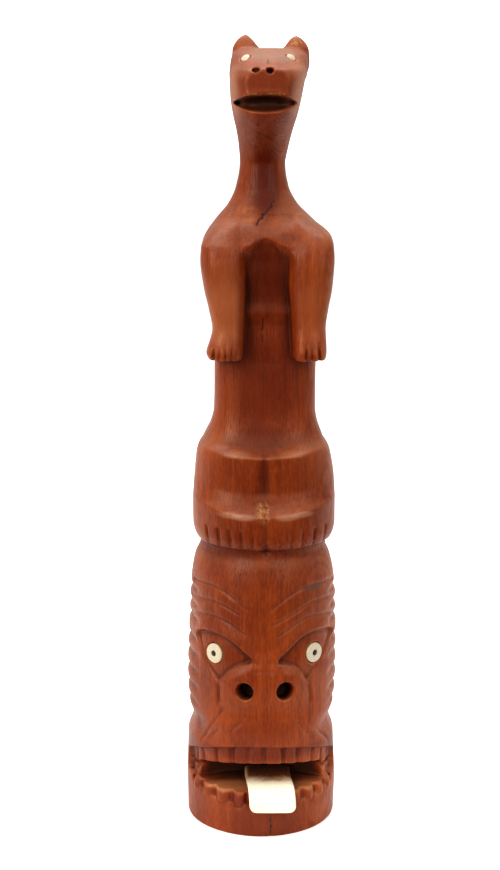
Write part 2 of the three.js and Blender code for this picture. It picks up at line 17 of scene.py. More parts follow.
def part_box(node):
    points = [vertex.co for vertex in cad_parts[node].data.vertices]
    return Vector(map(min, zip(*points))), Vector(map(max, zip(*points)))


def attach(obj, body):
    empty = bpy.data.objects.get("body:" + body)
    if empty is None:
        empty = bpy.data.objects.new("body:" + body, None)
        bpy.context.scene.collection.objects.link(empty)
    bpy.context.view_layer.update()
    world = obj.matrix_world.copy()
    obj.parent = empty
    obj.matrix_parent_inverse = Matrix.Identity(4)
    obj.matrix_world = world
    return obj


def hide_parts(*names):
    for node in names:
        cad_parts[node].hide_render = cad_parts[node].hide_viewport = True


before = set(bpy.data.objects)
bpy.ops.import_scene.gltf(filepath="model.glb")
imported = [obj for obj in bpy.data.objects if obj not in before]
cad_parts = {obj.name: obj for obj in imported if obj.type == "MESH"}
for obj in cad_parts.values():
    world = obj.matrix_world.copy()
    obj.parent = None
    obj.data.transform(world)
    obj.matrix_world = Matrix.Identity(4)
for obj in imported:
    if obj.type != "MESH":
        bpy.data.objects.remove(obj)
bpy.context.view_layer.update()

MM = 0.001  # the carving is worked out in millimetres, and Blender's unit is the metre

# ---------------------------------------------------------------- sizes, in millimetres and degrees
LOG_RADIUS = 29.5
CELL = 0.42  # the size of a cell of the block that the pole is carved in
BLOCK_LOW = (-31.5, -34.0, -1.2)
BLOCK_HIGH = (32.5, 29.0, 307.6)
MOST_TRIANGLES = 176000
CROWN_TOP = 301.2
FOOT_BOTTOM = 114.6  # where the seated animal begins, above the lower head
LEGS_MIDDLE = 1.2

MOUTH = {"floor": 18.2, "roof": 30.3, "roof_fall": 0.30, "depth": 24, "half_width": 36, "corner": 27.5}
LIP = {"height": 37.3, "fall": 0.40, "inset": 1.7}
LOWER_TEETH = {"foot": 10.7, "inset": 1.3}
MUZZLE_FACE = -23.9  # the flat front of the animal's muzzle, in Y
ANIMAL_MOUTH = {"middle": 281.3, "opening": 6.5, "x": 1.05, "half_width": 11.4, "depth": 7.0}

# A nostril of the lower head: degrees round from the front, how much it looks outwards, and its radius.
NOSTRILS = {"height": 60.0, "depth": 9.5, "flare": 0.85, "places": [(-13.8, -0.32, 3.25), (17.6, 0.34, 3.4)]}
# The animal's nostrils: X and height of each.
ANIMAL_NOSTRILS = {"radius": 1.42, "depth": 5.0, "flare": 0.15, "places": [(-2.3, 295.0), (2.75, 294.5)]}

# The carved column: height, middle's X, half width, reach to the front, reach to the back, and the
# superellipse power, which is 2 for a round section.
LOWER_HEAD = [
    (0, 0, 29.5, 29.3, 26.8, 2),
    (14, 0, 29.8, 29.7, 27.2, 2),
    (33, -0.1, 29.3, 29.9, 27.2, 2.05),
    (40, 0, 28.9, 29.6, 27, 2.05),
    (60, 0.3, 29.6, 28.4, 27, 2),
    (92, 0.7, 28.8, 28.6, 26.5, 2),
    (101, 0.6, 27.9, 28, 26, 2),
    (108, 0.5, 26.4, 26.8, 24.8, 2),
    (112.6, 0.6, 24.6, 25, 23.2, 2.05),
]
SEATED_LEGS = [
    (114.6, 0.8, 24.6, 24.9, 23.2, 2.1),
    (116.2, 1, 26.4, 26.9, 23.9, 2.15),
    (121, 1.1, 27.8, 28, 24.6, 2.2),
    (128.4, 1.1, 27.8, 27.9, 24.6, 2.25),
    (129.2, 1.1, 27.7, 27.3, 24.6, 2.3),
    (130.8, 1.1, 27.6, 25.2, 24.6, 2.35),
    (133.2, 1.1, 27.5, 23.6, 24.5, 2.4),
    (137.0, 1.1, 27.2, 22.7, 24.4, 2.4),
    (146.5, 0.8, 25.9, 22.8, 23.2, 2.45),
    (150.4, 0.6, 24.3, 23, 22.2, 2.5),
]
TORSO = [
    (151.2, 0.6, 23.7, 21.6, 21.8, 2.5),
    (153.6, 0.7, 22.7, 18.2, 21, 2.5),
    (159, 1, 20.7, 15.8, 19.2, 2.7),
    (167, 1.2, 19.6, 14.8, 18, 2.9),
    (183, 1.4, 19.5, 14.4, 17.4, 3),
    (199.6, 1.8, 19.6, 14.4, 17.7, 2.8),
    (204.8, 2, 20, 15.6, 18.1, 2.6),
    (208.4, 2, 20.5, 15.1, 18.4, 2.5),
    (215, 2, 21.5, 15.9, 19.2, 2.4),
    (225, 2, 24.2, 18.6, 20.4, 2.3),
    (230, 2, 24.3, 21.4, 20.4, 2.25),
    (232.4, 2, 23.5, 21.2, 19.9, 2.2),
]
NECK = [
    (238.7, 1, 18.3, 15.6, 16.2, 2),
    (244.7, 0.4, 12.9, 11.4, 12.6, 2),
    (251, 0.2, 9.9, 9.3, 10.2, 2),
    (259, 0.3, 8.6, 9, 9.2, 2),
]
UPPER_HEAD = [
    (265.6, 0.7, 9.4, 12, 9.7, 2),
    (271.4, 1, 10.5, 17.2, 10.8, 2.1),
    (277.3, 1.3, 12.1, 21.8, 12.2, 2.4),
    (283, 1.5, 13.2, 24.9, 13.2, 2.8),
    (289, 1.9, 13.95, 25.6, 13.8, 2.9),
    (292.8, 2.3, 14.4, 24.4, 13.6, 2.5),
    (295.6, 2.6, 14.35, 18.4, 12.9, 2.15),
    (298.6, 2.8, 13.9, 12, 11.4, 2),
    (301.8, 3, 12.2, 4.8, 8.4, 2),
]
COLUMN = LOWER_HEAD + SEATED_LEGS + TORSO + NECK + UPPER_HEAD

FORELEG_MIDDLE = 2.0
PAW_FOOT = 187.6
ARCH = {"top": 232.4, "half_width": 8.8, "rise": 12.0}
# The belly under the arch: heights, and how far forward it stands at each.
BELLY = ([186, 203, 215, 224, 230, ARCH["top"]], [15.0, 16.6, 16.4, 17.0, 18.4, 20.4])
# A foreleg: height, distance out from the middle between the two, half width, Y of its middle, half depth.
LEFT_FORELEG = [
    (187.4, 15.6, 6.3, -15.2, 8.3),
    (190, 15.9, 6.9, -15.2, 8.9),
    (193.5, 15.3, 6.5, -15, 8.5),
    (199, 14.5, 6.0, -14.6, 7.7),
    (206, 15.1, 6.8, -14, 8.4),
    (214, 15.7, 8.0, -13.2, 9.3),
    (223, 16.2, 8.6, -13, 10.3),
    (229.5, 15.6, 9.0, -12.4, 10.0),
    (231.6, 14.6, 9.2, -11.4, 9.4),
    (235.5, 12, 8.4, -9.0, 7.2),
    (240, 8.2, 6.4, -5.6, 4.4),
]
RIGHT_FORELEG = [
    (187.4, 15.7, 6.2, -15.2, 8.4),
    (190, 15.8, 6.5, -15.2, 8.8),
    (193.5, 15.7, 6.5, -15, 8.4),
    (199, 15.4, 6.5, -14.6, 7.8),
    (206, 15.6, 7.2, -14, 8.4),
    (214, 15.9, 8.4, -13.2, 9.3),
    (223, 16.3, 8.8, -13, 10.2),
    (229.5, 15.6, 9.2, -12.4, 10.2),
    (232.6, 14.7, 9.3, -11.8, 10.0),
    (235.5, 12.2, 8.6, -9.6, 8.0),
    (240, 8.2, 6.4, -5.6, 4.4),
]
FORELEG_TOP = LEFT_FORELEG[-1][0]

EARS = {"middle": 3.4, "out": 9.3, "y": 3.4}  # X midway between them, how far out each is, and their Y
# An ear: height, half width, half depth, and how far it bulges outwards. The left one is longer and sharper.
LEFT_EAR = [
    (290, 4.0, 4.4, 0),
    (296, 5.2, 4.9, 0),
    (300.8, 5.0, 4.4, 0),
    (303.6, 3.5, 3.0, 0.3),
    (305.4, 1.75, 1.7, 0.35),
    (306.4, 0.5, 0.7, 0.1),
]
RIGHT_EAR = [
    (290, 4.0, 4.4, 0),
    (296, 5.2, 4.9, 0),
    (300.8, 4.8, 4.3, 0.1),
    (303.4, 3.4, 3.2, 0.2),
    (304.8, 2.2, 2.2, 0.1),
    (305.7, 1.0, 1.2, 0),
]

# Where the carver's cuts on the lower head lie: degrees round from the front, then the height.
TOOTH_GAPS_ABOVE = [-77, -65.7, -54.5, -39.3, -24.1, -10.8, 2.2, 18.6, 31.6, 46.4, 59, 71.9]
TOOTH_GAPS_BELOW = [-68, -54.9, -40.2, -24.3, -11.3, 3, 19, 34.8, 46.9, 59.1, 71]
BROW_GROOVES = [
    [(-78, 98.5), (-57, 100), (-36, 100), (-21.5, 96), (-10, 91.5)],
    [(-84, 91.8), (-60, 93.2), (-41, 94.5), (-26, 92.4), (-15, 89.4)],
    [(-84, 84.6), (-60, 87.3), (-41, 88.6), (-26, 86.6), (-13, 82.5), (-8.6, 81.3)],
    [(84, 97.6), (72, 99.3), (40.5, 101), (21, 98.4), (1, 90.8)],
    [(86, 91), (72, 92.6), (41, 94.5), (25.5, 91), (4, 85.8)],
    [(86, 85), (73, 86), (41, 88.7), (28.5, 87.3), (17, 83.6), (6, 80.6)],
]
CLAW_GAPS = [-17.9, -15.7, -13.4, -11.2, -9.4, 16.6, 18.9, 21.4]  # in X
CHEEK_NOTCHES = [95, 89, 83.5, 75.2, 69, 62.4, 55.8, 49.4]
WHISKERS = [
    [(-28, 54.5), (-39, 45.5), (-54, 34.8)],
    [(-15, 48), (-28, 41)],
    [(-33, 44), (-45, 37)],
    [(26, 47.5), (38, 41)],
    [(33, 42), (43, 38)],
    [(43, 43.5), (66, 33.4)],
]
EYE_SOCKETS = [
    [(-65, 79), (-54, 81.8), (-36, 82.2), (-23, 79.4), (-16, 76.6), (-5, 71.6), (-17.5, 70), (-27.5, 67)]
    + [(-36.6, 61.6), (-42, 64), (-51, 69), (-58, 74)],
    [(75, 78.6), (62, 81.4), (50, 82.2), (39, 82.4), (30, 80.8), (21, 77), (8.6, 71.4), (19.5, 70), (30, 68)]
    + [(37.6, 61.4), (42, 64.3), (50, 69.3), (61, 73.8)],
]
NOSE = [(-35.6, 53), (-36.4, 62), (-27.5, 66.9), (-17.5, 70), (-5, 71.7), (10, 71.2), (19.5, 70), (30, 68)]
NOSE += [(37.6, 62), (40.4, 53), (32, 49.5), (16, 48), (2, 49.4), (-12, 48), (-27, 49.5)]
NOSE_SIDES = [[(-36.6, 63), (-35.4, 57), (-36.2, 51.5)], [(38.6, 63), (40.6, 57), (40.8, 51)]]

# The inlaid discs: the way that the right-hand one looks, its radius and its thickness.
DISCS = {
    "lower_eye": ((0.655, -0.755, 0.04), 3.9, 2.2),
    "lower_pupil": ((0.655, -0.755, 0.04), 1.05, 1.2),
    "upper_eye": ((0.46, -0.72, 0.52), 1.75, 1.6),
}
OVAL = {"narrow": 0.72, "roll": -28}  # the upper eyes are ovals that fall towards the outside
DISC_PROUD = 0.12  # how far a disc stands out of the wood
TONGUE = {"middle": 2.2, "half_width": 9.05, "thick": 3.2, "bend": 4.7, "lean": 2.0, "sides": 36}

rng = np.random.default_rng(11)


# ---------------------------------------------------------------- measuring tools for the carving
def smooth(value, low=0.0, high=1.0):
    """Rises softly from 0 at low to 1 at high."""
    t = np.clip((value - low) / (high - low), 0, 1)
    return t * t * (3 - 2 * t)


def profile(stations, heights):
    """Reads each column of the stations at the heights, with curves that never swing past a station."""
    table = np.array(stations, float)
    z = table[:, 0]
    i = np.clip(np.searchsorted(z, heights, side="right") - 1, 0, len(z) - 2)
    span = np.diff(z)
    t = np.clip((heights - z[i]) / span[i], 0, 1)
    ease = t * t * (3 - 2 * t)
    columns = []
    for values in table[:, 1:].T:
        slope = np.diff(values) / span
        same_way = slope[:-1] * slope[1:] > 0
        total = np.where(same_way, slope[:-1] + slope[1:], 1)
        tangent = np.zeros(len(z))
        tangent[1:-1] = np.where(same_way, 2 * slope[:-1] * slope[1:] / total, 0)
        rise = t * (1 - t) ** 2 * span[i] * tangent[i]
        fall = t * t * (t - 1) * span[i] * tangent[i + 1]
        columns.append(values[i] * (1 - ease) + values[i + 1] * ease + rise + fall)
    return np.array(columns)


def section_distance(x, y, half, front, back, square):
    """How far outside a superellipse section each point lies, and below zero inside it."""
    reach = np.where(y < 0, front, back)
    size = (np.abs(x / half) ** square + np.abs(y / reach) ** square) ** (1 / square)
    size = np.maximum(size, 1e-3)
    return np.hypot(x, y) * (1 - 1 / size)


def join(a, b, round_by):
    """Adds wood: the two forms as one, with the inner corner between them rounded."""
    h = np.clip(0.5 + 0.5 * (b - a) / round_by, 0, 1)
    return b * (1 - h) + a * h - round_by * h * (1 - h)


def take(wood, cut, round_by=0.3):
    """Takes the cut away from the wood, with the new edge rounded a little."""
    return -join(-wood, cut, round_by)


def distance_to_path(a, z, path):
    """The distance to a line of straight stretches, and how far along it the nearest point is, 0 to 1."""
    points = np.array(path, float)
    lengths = np.hypot(*np.diff(points, axis=0).T)
    nearest = np.full(np.broadcast(a, z).shape, 1e9)
    along = np.zeros_like(nearest)
    done = 0.0
    for (a0, z0), (a1, z1), length in zip(points[:-1], points[1:], lengths):
        t = np.clip(((a - a0) * (a1 - a0) + (z - z0) * (z1 - z0)) / length**2, 0, 1)
        d = np.hypot(a - a0 - t * (a1 - a0), z - z0 - t * (z1 - z0))
        closer = d < nearest
        nearest = np.where(closer, d, nearest)
        along = np.where(closer, (done + t * length) / lengths.sum(), along)
        done += length
    return nearest, along


def distance_to_outline(a, z, outline):
    """The distance to a closed outline, below zero inside it."""
    points = np.array(outline, float)
    d, _ = distance_to_path(a, z, np.vstack([points, points[:1]]))
    inside = np.zeros(d.shape, bool)
    for (a0, z0), (a1, z1) in zip(points, np.roll(points, -1, axis=0)):
        crosses = (z0 > z) != (z1 > z)
        rise = z1 - z0 if z1 != z0 else 1e-9
        inside ^= crosses & (a < (a1 - a0) * (z - z0) / rise + a0)
    return np.where(inside, -d, d)


def rounded(path, rounds=2):
    """Cuts the corners of an open line, so that a stroke through few points is a smooth curve."""
    points = np.array(path, float)
    for _ in range(rounds):
        quarter = points[:-1] * 0.75 + points[1:] * 0.25
        three = points[:-1] * 0.25 + points[1:] * 0.75
        between = np.stack([quarter, three], axis=1).reshape(-1, 2)
        points = np.vstack([points[:1], between[1:-1], points[-1:]])
    return points


def rounded_outline(outline, rounds=2):
    """Cuts the corners of a closed outline, so that an outline of few points is a smooth curve."""
    points = np.array(outline, float)
    for _ in range(rounds):
        following = np.roll(points, -1, axis=0)
        points = np.stack([points * 0.75 + following * 0.25, points * 0.25 + following * 0.75], axis=1)
        points = points.reshape(-1, 2)
    return points


# ---------------------------------------------------------------- the relief of the lower head
ARC = math.radians(1) * 28.5  # millimetres round the log for each degree
FACE_MIDDLE = 1.5  # where the middle of the face is, in degrees round from the front
NOSTRIL_FLARES = (-14.0, 17.2)
EYE_MOUNDS = (-39.6, 41.6)


def unrolled(path):
    """A path of degrees and heights as millimetres round the log and heights."""
    return [(degrees * ARC, height) for degrees, height in path]


def stroke(relief, degrees, heights, path, width, depth, taper, outward=0.0):
    """One V-shaped gouge stroke. outward makes it deeper and wider towards the sides of the head."""
    path = rounded(unrolled(path))
    round_log = degrees * ARC
    low, high = path.min(0) - 2 * width, path.max(0) + 2 * width
    rows = np.where((heights >= low[1]) & (heights <= high[1]))[0]
    columns = np.where((round_log >= low[0]) & (round_log <= high[0]))[0]
    off, along = distance_to_path(round_log[None, columns], heights[rows, None], path)
    ends = smooth(np.minimum(along, 1 - along), 0, taper)
    grow = 1 + outward * smooth(np.abs(degrees[columns])[None, :], 40, 75)
    valley = np.clip(1 - off / (0.5 * width * grow), 0, 1) ** 0.8
    relief[np.ix_(rows, columns)] -= depth * grow * ends * valley


def nose_relief(across, up):
    """The nose stands out a little over the nostrils, and its upper edge runs into the bridge between the
    eyes. Each nostril has a flare over it."""
    nose = distance_to_outline(across, up, rounded_outline(unrolled(NOSE)))
    relief = 1.15 * smooth(-nose, -0.6, 3.4) * smooth(up, 47, 66)
    relief += 0.5 * smooth(6 - np.abs(across - 1), 0, 5) * smooth(up, 66, 71) * smooth(92 - up, 0, 14)
    for flare in NOSTRIL_FLARES:
        relief += 0.9 * np.exp(-(((across - flare * ARC) / 5.4) ** 2) - ((up - 60) / 6) ** 2)
    return relief


def brow_bands(across, up, off_middle):
    """The brow bands stand out above the eyes."""
    relief = 0.0
    for over_the_eye in (EYE_SOCKETS[0][:6], EYE_SOCKETS[1][:7]):
        off, _ = distance_to_path(across, up, rounded(unrolled(over_the_eye)))
        fading = smooth(96 - up, 0, 6) * (1 - smooth(off_middle, 50, 68))
        relief = relief + 0.8 * smooth(5.5 - off, 0, 5) * fading
    return relief


def with_eye_sockets(relief, across, up):
    """Each eye is a mound in a socket: deep under the brow and at the nose, rising to the inlaid disc."""
    for outline, eye in zip(EYE_SOCKETS, EYE_MOUNDS):
        inside = -distance_to_outline(across, up, rounded_outline(unrolled(outline)))
        wall = smooth(inside, -0.2, 0.9)
        mound = np.exp(-(((across - eye * ARC) / 9.5) ** 2) - ((up - 72.0) / 7.4) ** 2)
        level = -1.65 + 1.35 * mound + 0.4 * smooth(inside, 0.4, 2.6)
        relief = relief * (1 - wall) + level * wall
    return relief


def cheek_and_waist_cuts(up, off_middle):
    """Rows of notches up both cheeks, and the waist where the jaw meets the lip."""
    reach = smooth(off_middle, 56, 72) * (1 - smooth(off_middle, 112, 134))
    cut = 0.0
    for height in CHEEK_NOTCHES:
        cut = cut + 1.05 * reach * np.exp(-(((up - height) / 1.35) ** 2))
    waist = smooth(off_middle, 40, 66) * smooth(1 - np.abs(up - 41.6) / 7, 0, 1)
    return cut + 1.7 * waist * (1 - smooth(off_middle, 112, 140))


def lower_head_relief(degrees, heights):
    """How far the lower head's surface stands out from the plain column, by angle and height."""
    across, up = degrees[None, :] * ARC, heights[:, None]
    off_middle = np.abs(degrees[None, :] - FACE_MIDDLE)
    relief = nose_relief(across, up)
    # the lip swells forward between the nose and the mouth's edge
    relief += 0.5 * smooth(1 - np.abs(up - 44) / 7, 0, 1) * (1 - smooth(off_middle, 30, 60))
    relief += brow_bands(across, up, off_middle)
    relief = with_eye_sockets(relief, across, up)
    for path in NOSE_SIDES:
        stroke(relief, degrees, heights, path, width=1.5, depth=0.85, taper=0.3)
    for path in BROW_GROOVES:
        stroke(relief, degrees, heights, path, width=1.45, depth=0.55, taper=0.1, outward=0.6)
    for path in WHISKERS:
        stroke(relief, degrees, heights, path, width=1.6, depth=0.58, taper=0.2)
    return relief - cheek_and_waist_cuts(up, off_middle)


def with_lip_and_teeth(relief, degrees, heights):
    """Sets the teeth back behind the upper lip and behind the band of the lower lip."""
    up = heights[:, None]
    log_y = -LOG_RADIUS * np.cos(np.radians(degrees))[None, :]
    face = 1 - smooth(np.abs(degrees[None, :]), 79, 82)
    lip_edge = LIP["height"] - LIP["fall"] * (log_y + LOG_RADIUS)
    above = smooth(lip_edge - up, -0.1, 0.35) * smooth(up, 22, 23)
    relief = relief - (LIP["inset"] + 0.3 * smooth(lip_edge - up, 0, 5)) * above * face

    # the band's upper edge is scalloped: it dips under each tooth and rises at each gap
    gaps = np.array(TOOTH_GAPS_BELOW, float)
    left = np.clip(np.searchsorted(gaps, degrees) - 1, 0, len(gaps) - 2)
    from_middle = np.clip(np.abs(2 * (degrees - gaps[left]) / (gaps[left + 1] - gaps[left]) - 1), 0, 1)
    sideways = np.clip(np.abs(degrees - FACE_MIDDLE) / 60, 0, 1.3)
    band_edge = LOWER_TEETH["foot"] + 0.3 + 2.7 * sideways**2.2 + 3.3 * from_middle**2.3
    below = smooth(up - band_edge[None, :], -0.1, 0.4) * smooth(24 - up, 0, 1)
    knob = (1 - from_middle[None, :] ** 2) * np.clip(1 - np.abs((up - 15.0) / 4.8) ** 2.2, 0, 1)
    return relief + (2.6 * knob - LOWER_TEETH["inset"] - 0.9) * below * face


def new_object(name, data):
    """An object for a mesh, a lamp or a camera, put in the scene."""
    made = bpy.data.objects.new(name, data)
    bpy.context.scene.collection.objects.link(made)
    return made


# ---------------------------------------------------------------- rows of gouge cuts
def socket(tree, name, kind, value=None, put_out=False):
    """One named input or output of a node tree."""
    made = tree.interface.new_socket(name=name, in_out="OUTPUT" if put_out else "INPUT", socket_type=kind)
    if value is not None:
        made.default_value = value
    return made


def gouge_cuts_tree(material):
    """Geometry Nodes: one blade-shaped cutter on every point, turned and sized by the point's attributes."""
    tree = bpy.data.node_groups.new("rows of gouge cuts", "GeometryNodeTree")
    socket(tree, "Places", "NodeSocketGeometry")
    socket(tree, "Blade Sides", "NodeSocketInt", 4)
    socket(tree, "Blade Width", "NodeSocketFloat", 3.0)
    socket(tree, "Blade Depth", "NodeSocketFloat", 4.0)
    socket(tree, "Cut Length", "NodeSocketFloat", 8.0)
    socket(tree, "Cuts", "NodeSocketGeometry", put_out=True)
    nodes, links = tree.nodes, tree.links
    given = nodes.new("NodeGroupInput")
    result = nodes.new("NodeGroupOutput")

    blade = nodes.new("GeometryNodeMeshCylinder")
    blade.fill_type = "TRIANGLE_FAN"
    blade.inputs["Radius"].default_value = 0.5
    links.new(given.outputs["Blade Sides"], blade.inputs["Vertices"])
    links.new(given.outputs["Cut Length"], blade.inputs["Depth"])
    shape = nodes.new("ShaderNodeCombineXYZ")
    shape.inputs["Z"].default_value = 1
    links.new(given.outputs["Blade Width"], shape.inputs["X"])
    links.new(given.outputs["Blade Depth"], shape.inputs["Y"])
    sized = nodes.new("GeometryNodeTransform")
    links.new(blade.outputs["Mesh"], sized.inputs["Geometry"])
    links.new(shape.outputs["Vector"], sized.inputs["Scale"])

    turn = nodes.new("GeometryNodeInputNamedAttribute")
    turn.data_type = "FLOAT_VECTOR"
    turn.inputs["Name"].default_value = "turn"
    size = nodes.new("GeometryNodeInputNamedAttribute")
    size.data_type = "FLOAT_VECTOR"
    size.inputs["Name"].default_value = "size"
    as_turn = nodes.new("FunctionNodeEulerToRotation")
    links.new(turn.outputs["Attribute"], as_turn.inputs["Euler"])
    on_points = nodes.new("GeometryNodeInstanceOnPoints")
    links.new(given.outputs["Places"], on_points.inputs["Points"])
    links.new(sized.outputs["Geometry"], on_points.inputs["Instance"])
    links.new(as_turn.outputs["Rotation"], on_points.inputs["Rotation"])
    links.new(size.outputs["Attribute"], on_points.inputs["Scale"])

    real = nodes.new("GeometryNodeRealizeInstances")
    coloured = nodes.new("GeometryNodeSetMaterial")
    coloured.inputs["Material"].default_value = material
    links.new(on_points.outputs["Instances"], real.inputs["Geometry"])
    links.new(real.outputs["Geometry"], coloured.inputs["Geometry"])
    links.new(coloured.outputs["Geometry"], result.inputs["Cuts"])
    return tree


def gouge_cuts(tree, places, sizes):
    """The closed cutters for a row. places holds (position, turn about X, Y and Z in degrees, scale)."""
    points = bpy.data.meshes.new("places of the cuts")
    points.from_pydata([position for position, _, _ in places], [], [])
    turns = np.radians(np.array([turn for _, turn, _ in places], np.float32))
    scales = np.array([scale for _, _, scale in places], np.float32)
    for name, values in (("turn", turns), ("size", scales)):
        layer = points.attributes.new(name, "FLOAT_VECTOR", "POINT")
        layer.data.foreach_set("vector", values.ravel())
    row = new_object("row of cuts", points)
    modifier = row.modifiers.new("cuts", "NODES")
    modifier.node_group = tree
    for item in tree.interface.items_tree:
        if item.item_type == "SOCKET" and item.in_out == "INPUT" and item.name in sizes:
            modifier[item.identifier] = sizes[item.name]
    graph = bpy.context.evaluated_depsgraph_get()
    cutters = bpy.data.meshes.new_from_object(row.evaluated_get(graph))
    row.modifiers.remove(modifier)
    bpy.data.objects.remove(row)
    return cutters


class Block:
    """The block of cells that the pole is carved in."""

    def __init__(self, low, high, cell):
        self.cell = cell
        self.low = np.array(low, float)
        self.counts = np.ceil((np.array(high) - self.low) / cell).astype(int) + 1
        self.x, self.y, self.z = (self.low[k] + cell * np.arange(self.counts[k]) for k in range(3))
        self.wood = np.empty(self.counts, np.float32)

    def cells_near(self, low, high):
        """The cells between two corners, as three rows of indices."""
        first = np.maximum(np.floor((low - self.low) / self.cell).astype(int), 0)
        last = np.minimum(np.ceil((high - self.low) / self.cell).astype(int) + 1, self.counts)
        return [np.arange(first[k], last[k]) for k in range(3)]

    def cut_with(self, cutters, count, margin=0.9):
        """Takes the inside of each closed, bulging cutter away from the wood."""
        points = np.empty(len(cutters.vertices) * 3, np.float32)
        cutters.vertices.foreach_get("co", points)
        facing = np.empty(len(cutters.polygons) * 3, np.float32)
        cutters.polygons.foreach_get("normal", facing)
        on_face = points.reshape(-1, 3)[[face.vertices[0] for face in cutters.polygons]]
        shapes = (points.reshape(count, -1, 3), facing.reshape(count, -1, 3), on_face.reshape(count, -1, 3))
        for corners, outward, spot in zip(*shapes):
            i, j, k = self.cells_near(corners.min(0) - margin, corners.max(0) + margin)
            where = np.ix_(i, j, k)
            places = np.stack(np.meshgrid(self.x[i], self.y[j], self.z[k], indexing="ij"), axis=-1)
            beyond = places @ outward.T - (outward * spot).sum(1)
            self.wood[where] = take(self.wood[where], beyond.max(-1), 0.25)

    def soften(self):
        """Rounds every edge by about a cell, as sanding does."""
        for axis in range(3):
            wood = np.moveaxis(self.wood, axis, 0)
            wood[1:-1] = 0.25 * wood[:-2] + 0.5 * wood[1:-1] + 0.25 * wood[2:]

    def sample(self, points, values=None, cell=None):
        """Reads the cells' values between the cells, at points in millimetres."""
        values = self.wood if values is None else values
        cell = self.cell if cell is None else cell
        at = np.clip((points - self.low) / cell, 0, np.array(values.shape) - 1.001)
        base = at.astype(int)
        part = at - base
        total = np.zeros(len(points))
        for corner in np.ndindex(2, 2, 2):
            share = np.prod(np.where(corner, part, 1 - part), axis=1)
            i, j, k = (base + corner).T
            total += share * values[i, j, k]
        return total

    def slope(self, points, step=None):
        """The direction straight out of the wood at each point."""
        step = self.cell if step is None else step
        out = np.empty_like(points)
        for axis in range(3):
            shift = np.zeros(3)
            shift[axis] = step
            out[:, axis] = self.sample(points + shift) - self.sample(points - shift)
        return out / (2 * step)


def surface_through(block):
    """Draws a closed surface of quads through the cells where the wood begins."""
    solid = block.wood < 0
    cells, points = surface_points(block, solid)
    index = np.full(np.array(solid.shape) - 1, -1, np.int32)
    index[tuple(cells.T)] = np.arange(len(cells))
    return points, surface_quads(solid, index)


def surface_points(block, solid):
    """The boxes between eight cells that are partly wood, and in each the middle of where its sides cross the
    wood's surface."""
    shape = np.array(solid.shape)
    corners = list(np.ndindex(2, 2, 2))
    some = np.zeros(tuple(shape - 1), bool)
    every = np.ones(tuple(shape - 1), bool)
    for i, j, k in corners:
        part = solid[i : i + shape[0] - 1, j : j + shape[1] - 1, k : k + shape[2] - 1]
        some |= part
        every &= part
    cells = np.argwhere(some & ~every)
    values = {corner: block.wood[tuple((cells + corner).T)] for corner in corners}
    total = np.zeros((len(cells), 3))
    crossings = np.zeros(len(cells))
    for start in corners:
        for axis in range(3):
            if start[axis]:
                continue
            end = tuple(v + (k == axis) for k, v in enumerate(start))
            a, b = values[start], values[end]
            crosses = (a < 0) != (b < 0)
            share = np.where(crosses, a / np.where(crosses, a - b, 1), 0)
            place = np.array(start, float)[None, :].repeat(len(cells), 0)
            place[:, axis] += share
            total += place * crosses[:, None]
            crossings += crosses
    return cells, block.low + block.cell * (cells + total / crossings[:, None])


def surface_quads(solid, index):
    """One quad across each step from wood to air, between the points of the four boxes round that step."""
    quads = []
    for axis in range(3):
        b, c = [(1, 2), (2, 0), (0, 1)][axis]
        ahead = [slice(None)] * 3
        ahead[axis] = slice(1, None)
        behind = [slice(None)] * 3
        behind[axis] = slice(None, -1)
        steps = np.argwhere(solid[tuple(ahead)] != solid[tuple(behind)])
        steps = steps[(steps[:, b] > 0) & (steps[:, c] > 0)]
        outward = solid[tuple(steps.T)]
        step_b, step_c = np.eye(3, dtype=int)[b], np.eye(3, dtype=int)[c]
        ring = [steps - step_b - step_c, steps - step_c, steps, steps - step_b]
        ring = np.stack([index[tuple(cell.T)] for cell in ring], axis=1)
        ring[~outward] = ring[~outward][:, ::-1]
        quads.append(ring)
    return np.concatenate(quads)


def mesh_from(name, points, faces):
    """A mesh from points in millimetres and faces that all have the same number of corners."""
    mesh = bpy.data.meshes.new(name)
    corners = faces.shape[1]
    mesh.vertices.add(len(points))
    mesh.vertices.foreach_set("co", (np.asarray(points) * MM).astype(np.float32).ravel())
    mesh.loops.add(faces.size)
    mesh.loops.foreach_set("vertex_index", faces.astype(np.int32).ravel())
    mesh.polygons.add(len(faces))
    mesh.polygons.foreach_set("loop_start", np.arange(0, faces.size, corners, dtype=np.int32))
    mesh.update(calc_edges=True)
    mesh.validate()
    return mesh


# ---------------------------------------------------------------- inlay seats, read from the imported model
def seat_of(node):
    """Where an inlaid disc sits, the way it looks, its radius and its thickness, in millimetres. narrow and
    roll say how far the disc is an oval, and how far that is turned."""
    kind, _, hand = node.rpartition("_")
    low, high = (np.array(corner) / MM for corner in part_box(node))
    looks, radius, thickness = DISCS[kind]
    outward = np.array(looks) * (1 if hand == "right" else -1, 1, 1)
    seat = {"face": (low + high) / 2, "outward": outward / np.linalg.norm(outward)}
    seat.update(radius=radius, thickness=thickness, narrow=1.0, roll=0.0)
    if kind == "upper_eye":
        seat.update(narrow=OVAL["narrow"], roll=OVAL["roll"] if hand == "right" else -OVAL["roll"])
    return seat


SEATS = {name: seat_of(name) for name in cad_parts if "eye" in name or "pupil" in name}


def settle_seats(block):
    """Moves each disc along its own axis until its face is just proud of the carved wood."""
    steps = np.arange(5.0, -5.0, -0.05)
    for name, seat in SEATS.items():
        if "pupil" in name:
            continue
        line = seat["face"] + steps[:, None] * seat["outward"]
        first_wood = int(np.argmax(block.sample(line) < 0))
        seat["face"] = line[first_wood] + DISC_PROUD * seat["outward"]
        if name.startswith("lower"):
            SEATS[name.replace("eye", "pupil")]["face"] = seat["face"]


